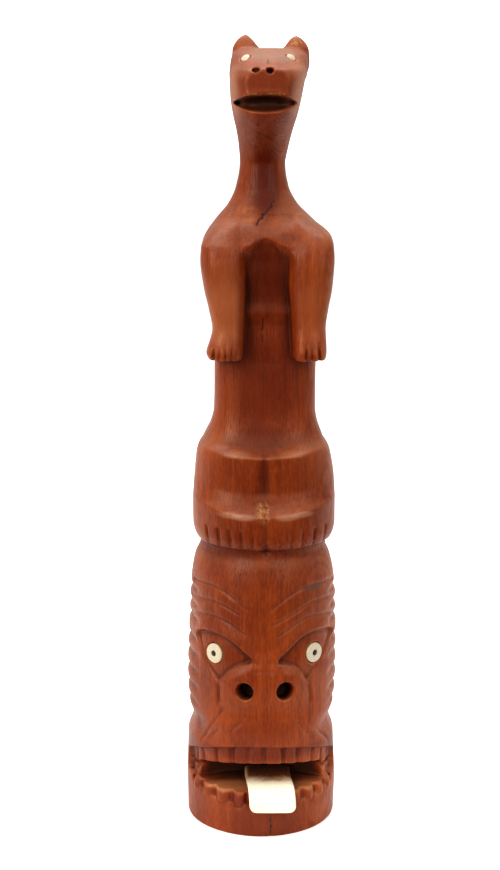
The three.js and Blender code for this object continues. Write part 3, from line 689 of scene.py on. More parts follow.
def seat_turn(seat):
    """The turn that lays a piece's own Z along the way its seat looks."""
    outward = Vector(seat["outward"])
    return outward.to_track_quat("Z", "Y").to_matrix() @ Matrix.Rotation(math.radians(seat["roll"]), 3, "Z")


def along_and_off(seat, x, y, z):
    """The distance along a seat's axis from the disc's outer face, and the distance off that axis, where an
    oval disc makes the seat the same oval."""
    offset = [value - middle for value, middle in zip((x, y, z), seat["face"])]
    across, up, along = (
        sum(part * way for part, way in zip(offset, direction)) for direction in seat_turn(seat).transposed()
    )
    return along, np.hypot(across, up / seat["narrow"])


# ---------------------------------------------------------------- the wood, carved in one piece
def unevenness(block, size, strength):
    """Soft swells left by hand work: random values on a coarse net, read smoothly between its points."""
    spans = block.counts * block.cell / np.array(size)
    values = rng.normal(0, strength, np.ceil(spans).astype(int) + 3)
    for axis, count in enumerate(block.counts):
        at = np.arange(count) * block.cell / size[axis]
        base = at.astype(int)
        t = at - base
        ease = t * t * (3 - 2 * t)
        values = np.moveaxis(values, axis, 0)
        shape = (-1,) + (1,) * (values.ndim - 1)
        mixed = values[base] * (1 - ease).reshape(shape) + values[base + 1] * ease.reshape(shape)
        values = np.moveaxis(mixed, 0, axis)
    return values.astype(np.float32)


def leg_cuts(x, z):
    """How deep the front of the seated legs is cut: between the shins, between the feet and under the
    arches."""
    off = np.abs(x - LEGS_MIDDLE)
    shins = smooth(153.6 - z, 0, 3.2) * smooth(z - 134.4, 0, 3)
    half = 0.7 + 3.9 * np.clip((151.6 - z) / 15, 0, 1)
    cut = 0.85 * shins * np.clip(1 - off / half, 0, 1) ** 0.7
    feet = smooth(135.5 - z, 0, 6)
    half = 0.9 + 0.8 * np.clip((134 - z) / 18, 0, 1)
    cut += 0.7 * feet * np.clip(1 - np.abs(x - LEGS_MIDDLE - 0.5) / half, 0, 1)
    arches = smooth(119.4 - z, 0, 2) * smooth(z, 113.6, 115)
    half = np.clip((119.4 - z) * 0.8, 0.01, 2.6)
    return cut + 0.9 * arches * np.clip(1 - np.abs(x - LEGS_MIDDLE - 0.4) / half, 0, 1)


def column_level(x, y, z, section, leg_heights, leg_sections):
    """One level of the column. Over the seated legs it is read from lower down towards the sides, so that the
    ledges rise as they go round."""
    lean, half, front, back, square = section
    if 116 < z < 168:
        lift = 2.7 * (np.abs(x - lean) / 24) ** 1.6 * smooth(z, 117, 130) * smooth(168 - z, 0, 10)
        section = (np.interp(z - lift, leg_heights, column) for column in leg_sections)
        lean, half, front, back, square = section
    return section_distance(x - lean, y, half, front, back, square)


def with_forelegs(wood, x, y, z, sections):
    """Joins the forelegs to one level, softly at the shoulders and crisply at the paws."""
    foot = PAW_FOOT - z if z < PAW_FOOT + 2 else -2.0
    round_by = 0.7 + 2.2 * smooth(z, 218, 231)
    round_by += 2.5 * smooth(z, 231, 235) * smooth(240 - z, 0, 4)
    for side, (out, half, middle, depth) in sections.items():
        leg = section_distance(x - FORELEG_MIDDLE - side * out, y - middle, half, depth, depth, 2.7)
        leg = np.maximum(leg, foot) + max(0.0, z - FORELEG_TOP + 1)
        wood = join(wood, leg, round_by)
    return wood


def chest_slope(x, y, z):
    """The chest slopes down over the arms, lowest in a valley beside the opening. Below zero in what goes."""
    off = x - FORELEG_MIDDLE
    valley = np.clip(1 - np.abs(np.abs(off) - 9.9) / 5.0, 0, 1)
    foot = 230.2 - 1.9 * valley + 0.06 * np.clip(-off, 0, 20) + 1.8 * smooth(z, 231.5, 238)
    return (y + 22.7 - 0.95 * (z - foot)) * 0.72


def arch_cut(x, y, z):
    """The round-topped opening between the forelegs, cut back to the belly. Below zero in what goes."""
    below = ARCH["top"] - z
    if below <= 0:
        return np.full(np.broadcast(x, y).shape, 9.0)
    half = ARCH["half_width"] * (1 - (1 - min(below / ARCH["rise"], 1.0)) ** 2) ** 0.63
    belly = -np.interp(z, *BELLY)
    slant = 0.2 + 0.32 * smooth(z, 200, 222)
    half = half - slant * np.clip(y + 22.5, 0, 6.5)
    return np.maximum(np.abs(x - FORELEG_MIDDLE + 0.2 + 0.05 * (z - 226)) - half, y - belly)


def chest_facet(x, y, z):
    """A shallow facet down the chest on both sides of the opening."""
    beside = np.clip(1 - np.abs(np.abs(x - FORELEG_MIDDLE) - 9.8) / 4.4, 0, 1)
    return 0.7 * beside * smooth(z, 225, 231.5) * smooth(243 - z, 0, 9) * smooth(-y, 8, 14)


def with_ears(wood, x, y, z, sections):
    """Levels the crown and joins the ears to it."""
    wood = take(wood, np.full_like(wood, CROWN_TOP - z), 2.4)
    for side, (half, depth, bulge) in sections.items():
        middle = EARS["middle"] + side * (EARS["out"] + bulge)
        ear = section_distance(x - middle, y - EARS["y"], half, depth, depth, 2)
        tip = (LEFT_EAR if side < 0 else RIGHT_EAR)[-1][0]
        wood = join(wood, ear + max(0.0, z - tip) * 3, 1.0)
    return wood


def shape_log(block):
    """Fills the block level by level: the column with its relief, the forelegs, the chest and the ears."""
    x, y = block.x[:, None], block.y[None, :]
    columns = profile(COLUMN, block.z)
    leg_heights = np.arange(105, 175, 0.1)
    leg_sections = profile(COLUMN, leg_heights)
    forelegs = {-1: profile(LEFT_FORELEG, block.z), 1: profile(RIGHT_FORELEG, block.z)}
    ears = {-1: profile(LEFT_EAR, block.z), 1: profile(RIGHT_EAR, block.z)}
    degrees = np.arange(-180, 180.5, 0.25)
    head_heights = block.z[block.z < FOOT_BOTTOM]
    relief = with_lip_and_teeth(lower_head_relief(degrees, head_heights), degrees, head_heights)
    relief *= 1 - smooth(head_heights, 104, 112)[:, None]

    for level, z in enumerate(block.z):
        wood = column_level(x, y, z, columns[:, level], leg_heights, leg_sections)
        if z < FOOT_BOTTOM:
            angle = np.degrees(np.arctan2(x - columns[0, level], -y))
            wood = wood - np.interp(angle, degrees, relief[level])
        if 113 < z < 156:
            wood = wood + leg_cuts(x, z) * smooth(-y, 4, 12)
        if PAW_FOOT - 3 < z < FORELEG_TOP + 1:
            wood = with_forelegs(wood, x, y, z, {side: legs[:, level] for side, legs in forelegs.items()})
            wood = take(wood, chest_slope(x, y, z), 2.8)
            wood = take(wood, arch_cut(x, y, z), 1.5 + 2.2 * smooth(z, 219, 229))
            wood = wood + chest_facet(x, y, z)
        if z > LEFT_EAR[0][0]:
            wood = with_ears(wood, x, y, z, {side: ear[:, level] for side, ear in ears.items()})
        if 276 < z < 296:
            wood = take(wood, y - MUZZLE_FACE, 0.5)
        block.wood[:, :, level] = wood


def carve_pole(block, cuts_tree):
    """Shapes the log and makes every cut in it. Returns the cells as they were before the cuts."""
    swells = unevenness(block, (9, 9, 16), 0.10) + unevenness(block, (3.2, 3.2, 7), 0.035)
    shape_log(block)
    block.wood += swells
    block.wood = np.maximum(block.wood, -block.z[None, None, :].astype(np.float32))
    uncut = block.wood.copy()
    open_mouth(block)
    open_animal_mouth(block)
    drill_nostrils(block)
    settle_seats(block)
    seat_inlays(block)
    cut_rows(block, cuts_tree)
    split_cracks(block)
    block.soften()
    return uncut


def open_mouth(block):
    """The lower head's mouth: a slot with a level floor, and a roof that falls towards the back."""
    i, j, k = block.cells_near(np.array([-30, -34, 16]), np.array([30, 0, 34]))
    x, y, z = block.x[i][:, None, None], block.y[j][None, :, None], block.z[k][None, None, :]
    roof = MOUTH["roof"] - MOUTH["roof_fall"] * (y + LOG_RADIUS)
    plan = section_distance(x, y + LOG_RADIUS + 1, MOUTH["half_width"], MOUTH["depth"], MOUTH["depth"], 2)
    walls = np.maximum(plan, np.abs(x - 0.7) - MOUTH["corner"])
    floor = MOUTH["floor"] + 1.4 * smooth(np.abs(x - 0.7), 22.5, MOUTH["corner"])
    gap = np.maximum(floor - z, z - roof)
    slot = -join(-walls, -gap, 0.8)
    where = np.ix_(i, j, k)
    block.wood[where] = take(block.wood[where], slot, 0.35)


def open_animal_mouth(block):
    """The animal's mouth: a slot with blunt ends that closes as it goes in, under a narrow worn lip."""
    m = ANIMAL_MOUTH
    i, j, k = block.cells_near(np.array([-14, -30, 272]), np.array([18, -4, 290]))
    x, y, z = block.x[i][:, None, None], block.y[j][None, :, None], block.z[k][None, None, :]
    where = np.ix_(i, j, k)
    wood = block.wood[where]
    beside = np.abs(x - m["x"]) / m["half_width"]
    across = np.clip(1 - beside**2.2, 0, 1) ** 0.66
    depth = m["depth"] * (1 - 0.72 * np.clip(beside, 0, 1) ** 2)
    inward = np.clip(1 + wood / depth, 0, 1.2)
    half = 0.5 * m["opening"] * across * inward**0.45
    middle = m["middle"] + 0.3 * beside**2
    gap = np.where(beside < 1, np.abs(z - middle) - half, 4.0)
    gap = np.maximum(gap, -wood - depth)
    lip = 0.35 * np.exp(-(((z - middle - half - 0.8) / 0.65) ** 2)) * (y < -10) * across
    block.wood[where] = take(wood - lip.astype(np.float32), gap * 0.9, 0.3)


def round_hole(block, mouth, inward, radius, depth, flare):
    """A drilled hole with a soft edge. flare widens it at its mouth."""
    mouth, inward = np.array(mouth, float), np.array(inward, float)
    inward = inward / np.linalg.norm(inward)
    reach = radius + flare + 1.5
    ends = np.stack([mouth - inward * 4, mouth + inward * (depth + 1)])
    i, j, k = block.cells_near(ends.min(0) - reach, ends.max(0) + reach)
    from_mouth = np.stack(np.broadcast_arrays(
        block.x[i][:, None, None] - mouth[0],
        block.y[j][None, :, None] - mouth[1],
        block.z[k][None, None, :] - mouth[2],
    ))
    along = np.tensordot(inward, from_mouth, 1)
    off = np.sqrt(np.maximum((from_mouth * from_mouth).sum(0) - along * along, 0))
    here = radius + flare * np.clip(1 - along / 3.0, 0, 1.4) ** 2
    hole = np.maximum(off - here, along - depth)
    where = np.ix_(i, j, k)
    block.wood[where] = take(block.wood[where], hole, 0.45)


def drill_nostrils(block):
    """Wide holes that look outwards in the lower head, and two small drilled ones in the animal's muzzle."""
    big, small = NOSTRILS, ANIMAL_NOSTRILS
    for degrees, outward, size in big["places"]:
        angle = math.radians(degrees)
        radius = LOG_RADIUS + 1.4
        mouth = (0.4 + radius * math.sin(angle), -radius * math.cos(angle), big["height"])
        round_hole(block, mouth, (-outward, 1, -0.12), size, big["depth"], big["flare"])
    for x, z in small["places"]:
        round_hole(block, (x, -24.6, z), (0, 0.8, -0.6), small["radius"], small["depth"], small["flare"])


def seat_inlays(block):
    """Levels the wood round each disc and sinks its pocket."""
    for name, seat in SEATS.items():
        if "pupil" in name:
            continue
        reach = seat["radius"] + 4
        i, j, k = block.cells_near(seat["face"] - reach, seat["face"] + reach)
        x, y, z = block.x[i][:, None, None], block.y[j][None, :, None], block.z[k][None, None, :]
        along, off = along_and_off(seat, x, y, z)
        where = np.ix_(i, j, k)
        wood = block.wood[where]
        collar = seat["radius"] + 0.35
        boss = np.maximum(along + DISC_PROUD, off - collar)
        wood = join(wood, np.maximum(boss, -along - 4), 1.2)
        wood = take(wood, np.maximum(-along - DISC_PROUD, off - collar), 0.8)
        pocket = np.maximum(off - seat["radius"] - 0.12, -along - seat["thickness"] - 0.1)
        block.wood[where] = take(wood, pocket, 0.1)


def upper_tooth_cuts():
    """One upright cut in each gap of the upper teeth, hung from the lip's edge."""
    rows = []
    radius = LOG_RADIUS - LIP["inset"] + 0.05
    for degrees in TOOTH_GAPS_ABOVE:
        angle = math.radians(degrees)
        y = -radius * math.cos(angle)
        lip = LIP["height"] - LIP["fall"] * (y + LOG_RADIUS)
        turn = (3 + 2 * rng.normal(), 2.5 * rng.normal(), degrees + 8 * rng.normal())
        scale = (rng.uniform(0.85, 1.2), rng.uniform(0.85, 1.15), 1)
        rows.append(((radius * math.sin(angle), y, lip - 4.6), turn, scale))
    return rows


def lower_tooth_cuts():
    """One short cut in each gap of the lower teeth, higher up towards the mouth's corners."""
    rows = []
    radius = LOG_RADIUS - LOWER_TEETH["inset"] + 0.15
    for degrees in TOOTH_GAPS_BELOW:
        angle = math.radians(degrees)
        rise = 2.4 * (abs(degrees) / 60) ** 2.2
        middle = (radius * math.sin(angle), -radius * math.cos(angle), 16.6 + rise)
        turn = (-5, 4 * rng.normal(), degrees + 6 * rng.normal())
        rows.append((middle, turn, (rng.uniform(0.85, 1.15), 1, 1)))
    return rows


def toe_cuts():
    """Long cuts between the seated animal's toes, each with a short one that opens it at the foot."""
    rows = []
    for side in (-1, 1):
        for toe in range(5):
            x = 1.8 + side * (3.4 + 4.3 * (toe + 0.4))
            y = -math.sqrt(max(28.1**2 - (x - 1.1) ** 2, 1.0))
            lean = math.degrees(math.atan2(x - 1.1, -y))
            depth = (0.62 if side < 0 else 0.46) * rng.uniform(0.75, 1.2)
            size = (rng.uniform(0.85, 1.2), depth, rng.uniform(0.75, 1.0))
            rows.append(((x, y + 0.1, 119.0), (7.5, 2.5 * rng.normal(), lean), size))
            rows.append(((x, y + 0.9, 115.6), (12, 0, lean), (1.3, 0.9, 0.32)))
    return rows


def claw_cuts():
    """Narrow cuts between the claws of both paws, deepest at the outer side of each paw."""
    rows = []
    for x in CLAW_GAPS:
        outer = abs(x - FORELEG_MIDDLE) > 18
        depth = 1.5 if outer else rng.uniform(1.0, 1.3)
        middle = (x, -23.8 + 0.9 * outer, PAW_FOOT + 2.4)
        rows.append((middle, (4.5, 1.5 * rng.normal(), 0), (depth, depth, 1)))
    return rows


def cut_rows(block, tree):
    """The gouge cuts that come in rows, with the width, depth and length of the blade for each."""
    for rows, width, depth, length in (
        (upper_tooth_cuts(), 2.6, 2.3, 9.4),
        (lower_tooth_cuts(), 1.6, 2.0, 6.2),
        (toe_cuts(), 1.8, 2.5, 11.5),
        (claw_cuts(), 0.95, 2.6, 9.0),
    ):
        sizes = {"Blade Sides": 4, "Blade Width": width, "Blade Depth": depth, "Cut Length": length}
        block.cut_with(gouge_cuts(tree, rows, sizes), len(rows))


CHEST_CRACK = [(4.3, 246.0), (3.4, 244.9), (3.7, 244.0), (2.3, 242.9), (1.5, 241.4)]
CHEST_CRACK += [(0.3, 241.0), (0.2, 239.8), (-1.3, 239.0), (-1.9, 237.6)]

# A crack: where it runs as X and height, seen from the front, then its width, its depth and Y where it is.
CRACKS = [
    (CHEST_CRACK, 0.95, 0.9, -13.5),
    ([(0.5, 202.6), (0.2, 198.4), (0.4, 193.8)], 0.55, 0.6, -15.0),
    ([(3.5, -1), (3.8, 4), (3.4, 9.2)], 0.6, 0.7, -29.3),
    ([(-2.5, 271.4), (1.4, 269.6), (6.1, 267.3)], 0.38, 0.15, -13.5),
    ([(2.0, 296.9), (2.3, 295.6)], 0.8, 0.7, -21.0),
    ([(-10.6, 34.0), (-9.8, 38.5)], 0.6, 0.3, -28.0),
]


def split_cracks(block):
    """Cracks in the wood, each a thin uneven split."""
    for path, width, depth, _ in CRACKS:
        points = np.array(path, float)
        low, high = points.min(0) - 2, points.max(0) + 2
        i, j, k = block.cells_near(np.array([low[0], -32, low[1]]), np.array([high[0], 0, high[1]]))
        x, z = block.x[i][:, None], block.z[k][None, :]
        off, along = distance_to_path(x, z, rounded(path, 1))
        ragged = 1 + 0.3 * np.sin(9 * along * len(path) + 2 * path[0][0])
        ends = smooth(np.minimum(along, 1 - along) + 0.05, 0, 0.25)
        cut = depth * ends * np.clip(1 - 2 * off / (width * ragged), 0, 1)
        block.wood[np.ix_(i, j, k)] += cut[:, None, :].astype(np.float32)


def box_blur(values, radius):
    """The mean of the cells within the radius along each axis in turn."""
    width = 2 * radius + 1
    for axis in range(3):
        line = np.moveaxis(values, axis, 0)
        padded = np.concatenate([line[:1].repeat(radius + 1, 0), line, line[-1:].repeat(radius, 0)])
        total = np.cumsum(padded, axis=0, dtype=np.float32)
        values = np.moveaxis((total[width:] - total[:-width]) / width, 0, axis)
    return values


def wood_around(block):
    """How much of the space near each cell is wood, near by, further off and wide: a half on flat wood,
    more in a hollow, less on an edge. Each value stands for two cells each way."""
    even = block.counts // 2 * 2
    solid = np.clip(0.5 - block.wood[: even[0], : even[1], : even[2]] / block.cell, 0, 1)
    coarse = solid.reshape(even[0] // 2, 2, even[1] // 2, 2, even[2] // 2, 2).mean((1, 3, 5))
    return box_blur(coarse, 1), box_blur(coarse, 2), box_blur(box_blur(coarse, 5), 4)


def smoothed_surface(block):
    """The surface through the cells, with its points moved onto the wood's true surface."""
    points, quads = surface_through(block)
    for _ in range(2):
        slope = block.slope(points)
        steep = np.maximum((slope * slope).sum(1), 0.2)
        points -= np.clip(block.sample(points) / steep, -0.3, 0.3)[:, None] * slope
    points[:, 2] = np.maximum(points[:, 2], 0.0)
    return points, quads


def thin_out(piece, most_triangles):
    """Leaves a piece of quads with no more triangles than that, fewest where it is flat."""
    thin = piece.modifiers.new("fewer faces", "DECIMATE")
    thin.ratio = min(1.0, most_triangles / (2 * len(piece.data.polygons)))
    graph = bpy.context.evaluated_depsgraph_get()
    mesh = bpy.data.meshes.new_from_object(piece.evaluated_get(graph))
    piece.modifiers.remove(thin)
    piece.data = mesh


def note_wear_and_painted_light(mesh, block, uncut):
    """Writes on the mesh, for the wood's finish to read: where the edges are, which get wear and a painted
    highlight; where creases and hollows are, and how deep the wood was cut, which get painted shade; and what
    looks up, which gets a painted sheen."""
    at = np.empty(len(mesh.vertices) * 3, np.float32)
    mesh.vertices.foreach_get("co", at)
    at = at.reshape(-1, 3) / MM
    edge, crease, shade = (block.sample(at, values, 2 * CELL) for values in wood_around(block))
    # how deep a cut must go for its painted shade to be at its darkest: shallow in the animal's head and in
    # the lower mouth
    full_dark = np.where(at[:, 2] > 270, 3.6, 11.0)
    full_dark = np.where((at[:, 2] > 18.9) & (at[:, 2] < 31), 4.5, full_dark)
    attributes = {
        "worn_and_lit_edge": smooth(0.47 - edge, 0, 0.14),
        "crease": smooth(crease - 0.53, 0, 0.16),
        "hollow": smooth(shade - 0.50, 0, 0.22),
        "inside": smooth(-block.sample(at, uncut), 0.9, full_dark),
        "faces_up": smooth(block.slope(at)[:, 2], 0.12, 0.62),
    }
    for name, values in attributes.items():
        layer = mesh.attributes.new(name, "FLOAT", "POINT")
        layer.data.foreach_set("value", values.astype(np.float32))


def make_pole(material):
    """The whole pole, carved in one piece."""
    block = Block(BLOCK_LOW, BLOCK_HIGH, CELL)
    uncut = carve_pole(block, gouge_cuts_tree(material))
    pole = new_object("pole_wood", mesh_from("pole_wood", *smoothed_surface(block)))
    thin_out(pole, MOST_TRIANGLES)
    pole.data.shade_smooth()
    note_wear_and_painted_light(pole.data, block, uncut)
    pole.data.materials.clear()
    pole.data.materials.append(material)
    return pole


# ---------------------------------------------------------------- the inlaid pieces
def new_piece(name, points, faces, material):
    """A piece of its own, from points in millimetres."""
    mesh = bpy.data.meshes.new(name)
    mesh.from_pydata((np.array(points) * MM).tolist(), [], faces)
    mesh.materials.append(material)
    return new_object(name, mesh)


def turned_piece(name, outline, seat, sides, material):
    """A piece turned on a lathe: an outline of (distance off the axis, distance along it), seated in the
    wood and squeezed to the seat's oval."""
    turn, face = seat_turn(seat), Vector(seat["face"])
    angles = [2 * math.pi * s / sides for s in range(sides)]
    points, rings = [], []
    for off, along in outline:
        spots = [(off * math.cos(a), seat["narrow"] * off * math.sin(a), along) for a in angles]
        spots = spots if off else [(0, 0, along)]
        rings.append(range(len(points), len(points) + len(spots)))
        points += [face + turn @ Vector(spot) for spot in spots]
    faces = []
    for ring, following in zip(rings[:-1], rings[1:]):
        for s in range(sides):
            t = (s + 1) % sides
            if len(ring) == 1:
                faces.append((ring[0], following[s], following[t]))
            elif len(following) == 1:
                faces.append((ring[s], following[0], ring[t]))
            else:
                faces.append((ring[s], following[s], following[t], ring[t]))
    piece = new_piece(name, points, faces, material)
    piece.data.shade_smooth()
    return piece


def arc(middle, radius, start, end, steps):
    """Points on a round corner of an outline, by angle from outwards to upwards in degrees."""
    angles = np.radians(np.linspace(start, end, steps))
    return [(middle[0] + radius * math.cos(a), middle[1] + radius * math.sin(a)) for a in angles]


def straight_side(seat, rounding, corner=0.1):
    """The rest of a disc's outline below its rim: its side and its flat back, with a small corner between."""
    radius, back = seat["radius"], -seat["thickness"]
    return [(radius, back + rounding), (radius - corner, back), (0, back)]


def lower_eye(name, pupil, material):
    """A thick disc with a low dome, a rounded rim and a drilled middle."""
    seat = SEATS[name]
    bore = SEATS[pupil]["radius"] + 0.12
    bore_floor = -1.4
    rim = 0.4
    flat = bore + 0.1
    edge = seat["radius"] - rim
    dome = [(flat + part * (edge - flat), 0.22 * (1 - part * part) + 0.02) for part in np.linspace(0, 1, 7)]
    outline = [(0, bore_floor), (bore, bore_floor), (bore, 0.1)] + dome[:-1]
    outline += arc((edge, -rim + 0.02), rim, 90, 0, 6) + straight_side(seat, 0.2, 0.2)
    return turned_piece(name + "_disc", outline[::-1], seat, 56, material)


def lower_pupil(name, material):
    """A small plug with a low dome, in the drilled middle of a lower eye."""
    seat = SEATS[name]
    angles = np.radians(np.linspace(0, 90, 7))[1:]
    cap = [(0, 0.14)] + [(seat["radius"] * math.sin(a), 0.16 * math.cos(a) - 0.02) for a in angles]
    return turned_piece(name + "_plug", (cap + straight_side(seat, 0.1))[::-1], seat, 32, material)


def upper_eye(name, material):
    """A plain oval disc with a low dome and a rounded rim."""
    seat = SEATS[name]
    rim = 0.3
    edge = seat["radius"] - rim
    dome = [(part * edge, 0.24 * (1 - part * part)) for part in np.linspace(0, 1, 7)]
    outline = dome[:-1] + arc((edge, -rim), rim, 90, 0, 5) + straight_side(seat, 0.1)
    return turned_piece(name + "_disc", outline[::-1], seat, 40, material)


def tongue_line(low, high):
    """The tongue's middle line in Y and height, level in the mouth, round the bend and down to the tip, and
    the middle of the bend."""
    half, bend = TONGUE["thick"] / 2, TONGUE["bend"]
    level = high[2] - half
    bend_middle = (low[1] + half + bend, level - bend)
    line = [(high[1], level), (high[1] * 0.5 + bend_middle[0] * 0.5, level)]
    line += arc(bend_middle, bend, 90, 180, 12)
    line += [(low[1] + half, z) for z in np.linspace(bend_middle[1] - 0.8, low[2] - 0.5, 14)]
    return np.array(line), bend_middle


def stops_along(line):
    """How far along the line each section of the tongue stands, and its Y and height there. They stand closer
    together at both ends, which are rounded."""
    reached = np.concatenate([[0], np.cumsum(np.hypot(*np.diff(line, axis=0).T))])
    tip = 3.4  # how much of the free end is rounded
    along = np.concatenate([[0, 0.25, 0.7], np.linspace(1.4, reached[-1] - tip, 34)])
    near_tip = reached[-1] - tip * (1 - np.sin(np.linspace(0, math.pi / 2, 14)))
    along = np.concatenate([along, near_tip[1:]])
    return along, np.stack([np.interp(along, reached, line[:, k]) for k in (0, 1)], axis=1)


def lost_by_rounding(from_tip):
    """What a quarter circle takes off: all of its radius at the tip, and nothing from one radius away."""
    return 1 - np.sqrt(np.clip(1 - (1 - np.clip(from_tip, 0, 1)) ** 2, 0, 1))


def swept_slab(path, half_widths, half_thicknesses, middles):
    """Points of a slab with rounded edges, one ring for each stop of the path, and its closed faces."""
    ahead = np.gradient(path, axis=0)
    ahead /= np.hypot(*ahead.T)[:, None]
    upward = np.stack([-ahead[:, 1], ahead[:, 0]], axis=1)
    upward *= np.sign(upward[:, 1] - upward[:, 0] + 1e-9)[:, None]
    sides = TONGUE["sides"]
    around = 2 * math.pi * np.arange(sides) / sides
    wide = np.sign(np.cos(around)) * np.abs(np.cos(around)) ** 0.32
    high = np.sign(np.sin(around)) * np.abs(np.sin(around)) ** 0.62
    points = []
    for (y, z), (up_y, up_z), half_width, half_thick, middle in zip(
        path, upward, half_widths, half_thicknesses, middles
    ):
        across = wide * half_width
        off = high * half_thick * (1 - 0.06 * (across / 8.6) ** 2)
        points += [(middle + a, y + up_y * o, z + up_z * o) for a, o in zip(across, off)]
    faces = []
    for ring in range(0, len(points) - sides, sides):
        for s in range(sides):
            t = (s + 1) % sides
            faces.append((ring + s, ring + t, ring + sides + t, ring + sides + s))
    last = len(points) - sides
    return points, faces + [tuple(range(sides))[::-1], tuple(range(last, last + sides))]


def make_tongue(material):
    """A bent slab: a rounded section swept from inside the mouth, over the lower teeth and down."""
    low, high = (np.array(corner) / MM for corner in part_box("tongue"))
    line, bend_middle = tongue_line(low, high)
    along, path = stops_along(line)
    from_tip = along[-1] - along
    half_widths = TONGUE["half_width"] - 2.6 * lost_by_rounding(from_tip / 3.0)
    half_widths[:3] -= (0.7, 0.3, 0.0)
    half_thicknesses = TONGUE["thick"] / 2 - 0.3 * np.exp(-(((path[:, 0] - bend_middle[0] + 2.4) / 2.2) ** 2))
    half_thicknesses -= 1.25 * lost_by_rounding(from_tip / 1.3)
    half_thicknesses[:3] -= (0.5, 0.2, 0.0)
    middles = TONGUE["middle"] + 0.3 + TONGUE["lean"] * smooth(along, 3, along[-1])
    points, faces = swept_slab(path, half_widths, half_thicknesses, middles)
    tongue = new_piece("tongue_slab", points, faces, material)
    face_out(tongue.data)
    tongue.data.shade_smooth()
    return tongue


def face_out(mesh):
    """Turns every face of a closed mesh outwards."""
    work = bmesh.new()
    work.from_mesh(mesh)
    bmesh.ops.recalc_face_normals(work, faces=work.faces)
    work.to_mesh(mesh)
    work.free()


# ---------------------------------------------------------------- finishes
class Nodes:
    """Short calls for building a node tree."""

    def __init__(self, tree):
        self.tree = tree

    def add(self, kind, **settings):
        """A node. A setting whose name begins with in_ is the value of an input."""
        node = self.tree.nodes.new(kind)
        for key, value in settings.items():
            if key.startswith("in_"):
                node.inputs[key[3:].replace("_", " ")].default_value = value
            else:
                setattr(node, key, value)
        return node

    def link(self, source, target):
        self.tree.links.new(source, target)

    def give(self, slot, value):
        """Sets an input to a number or a colour, or links it to an output."""
        if isinstance(value, (int, float)):
            slot.default_value = value
        elif isinstance(value, tuple):
            slot.default_value = (*value, 1) if slot.type == "RGBA" else value
        else:
            self.link(value, slot)

    def math(self, operation, *values):
        node = self.add("ShaderNodeMath", operation=operation)
        for slot, value in zip(node.inputs, values):
            self.give(slot, value)
        return node.outputs[0]

    def vector(self, operation, a, b=None):
        """Vector arithmetic. For SCALE, b is the number to multiply by."""
        node = self.add("ShaderNodeVectorMath", operation=operation)
        self.link(a, node.inputs[0])
        if b is not None:
            self.give(node.inputs[3 if operation == "SCALE" else 1], b)
        return node.outputs["Value" if operation in ("DOT_PRODUCT", "LENGTH") else "Vector"]

    def apart(self, vector):
        """The X, Y and Z of a vector."""
        node = self.add("ShaderNodeSeparateXYZ")
        self.link(vector, node.inputs[0])
        return tuple(node.outputs)

    def mix(self, amount, a, b, blend="MIX"):
        node = self.add("ShaderNodeMix", data_type="RGBA", blend_type=blend)
        for slot, value in zip((node.inputs[0], node.inputs[6], node.inputs[7]), (amount, a, b)):
            self.give(slot, value)
        return node.outputs[2]

    def tint(self, colour, mask, strength, tint):
        """Lays a second colour over the first where the mask is, as strongly as that."""
        return self.mix(self.math("MULTIPLY", mask, strength), colour, tint)

    def total(self, start, *shares):
        """start, plus each mask times its share."""
        for mask, share in shares:
            start = self.math("MULTIPLY_ADD", mask, share, start)
        return start

    def spread(self, value, low, high, to_low=0.0, to_high=1.0):
        """Runs softly from to_low, where the value is low, to to_high, where it is high."""
        node = self.add("ShaderNodeMapRange", interpolation_type="SMOOTHSTEP")
        self.link(value, node.inputs["Value"])
        for name, number in zip(("From Min", "From Max", "To Min", "To Max"), (low, high, to_low, to_high)):
            node.inputs[name].default_value = number
        return node.outputs[0]

    def noise(self, vector, scale, detail=2.0, roughness=0.5):
        node = self.add("ShaderNodeTexNoise", in_Detail=detail, in_Roughness=roughness)
        self.link(vector, node.inputs["Vector"])
        self.give(node.inputs["Scale"], scale)
        return node.outputs["Fac"]

    def stretched(self, vector, scale, shift=(0, 0, 0)):
        node = self.add("ShaderNodeMapping", vector_type="POINT", in_Scale=scale, in_Location=shift)
        self.link(vector, node.inputs["Vector"])
        return node.outputs[0]

    def attribute(self, name):
        return self.add("ShaderNodeAttribute", attribute_name=name).outputs["Fac"]

    def bump(self, height, strength, distance):
        node = self.add("ShaderNodeBump", in_Strength=strength, in_Distance=distance)
        self.link(height, node.inputs["Height"])
        return node.outputs[0]


def new_group(name, inputs, outputs):
    """A shader node group with named sockets, and what is given to it and what it gives back."""
    tree = bpy.data.node_groups.new(name, "ShaderNodeTree")
    for socket_name, kind, value in inputs:
        socket(tree, socket_name, kind, value)
    for socket_name in outputs:
        socket(tree, socket_name, "NodeSocketFloat", put_out=True)
    nodes = Nodes(tree)
    return tree, nodes, nodes.add("NodeGroupInput").outputs, nodes.add("NodeGroupOutput").inputs


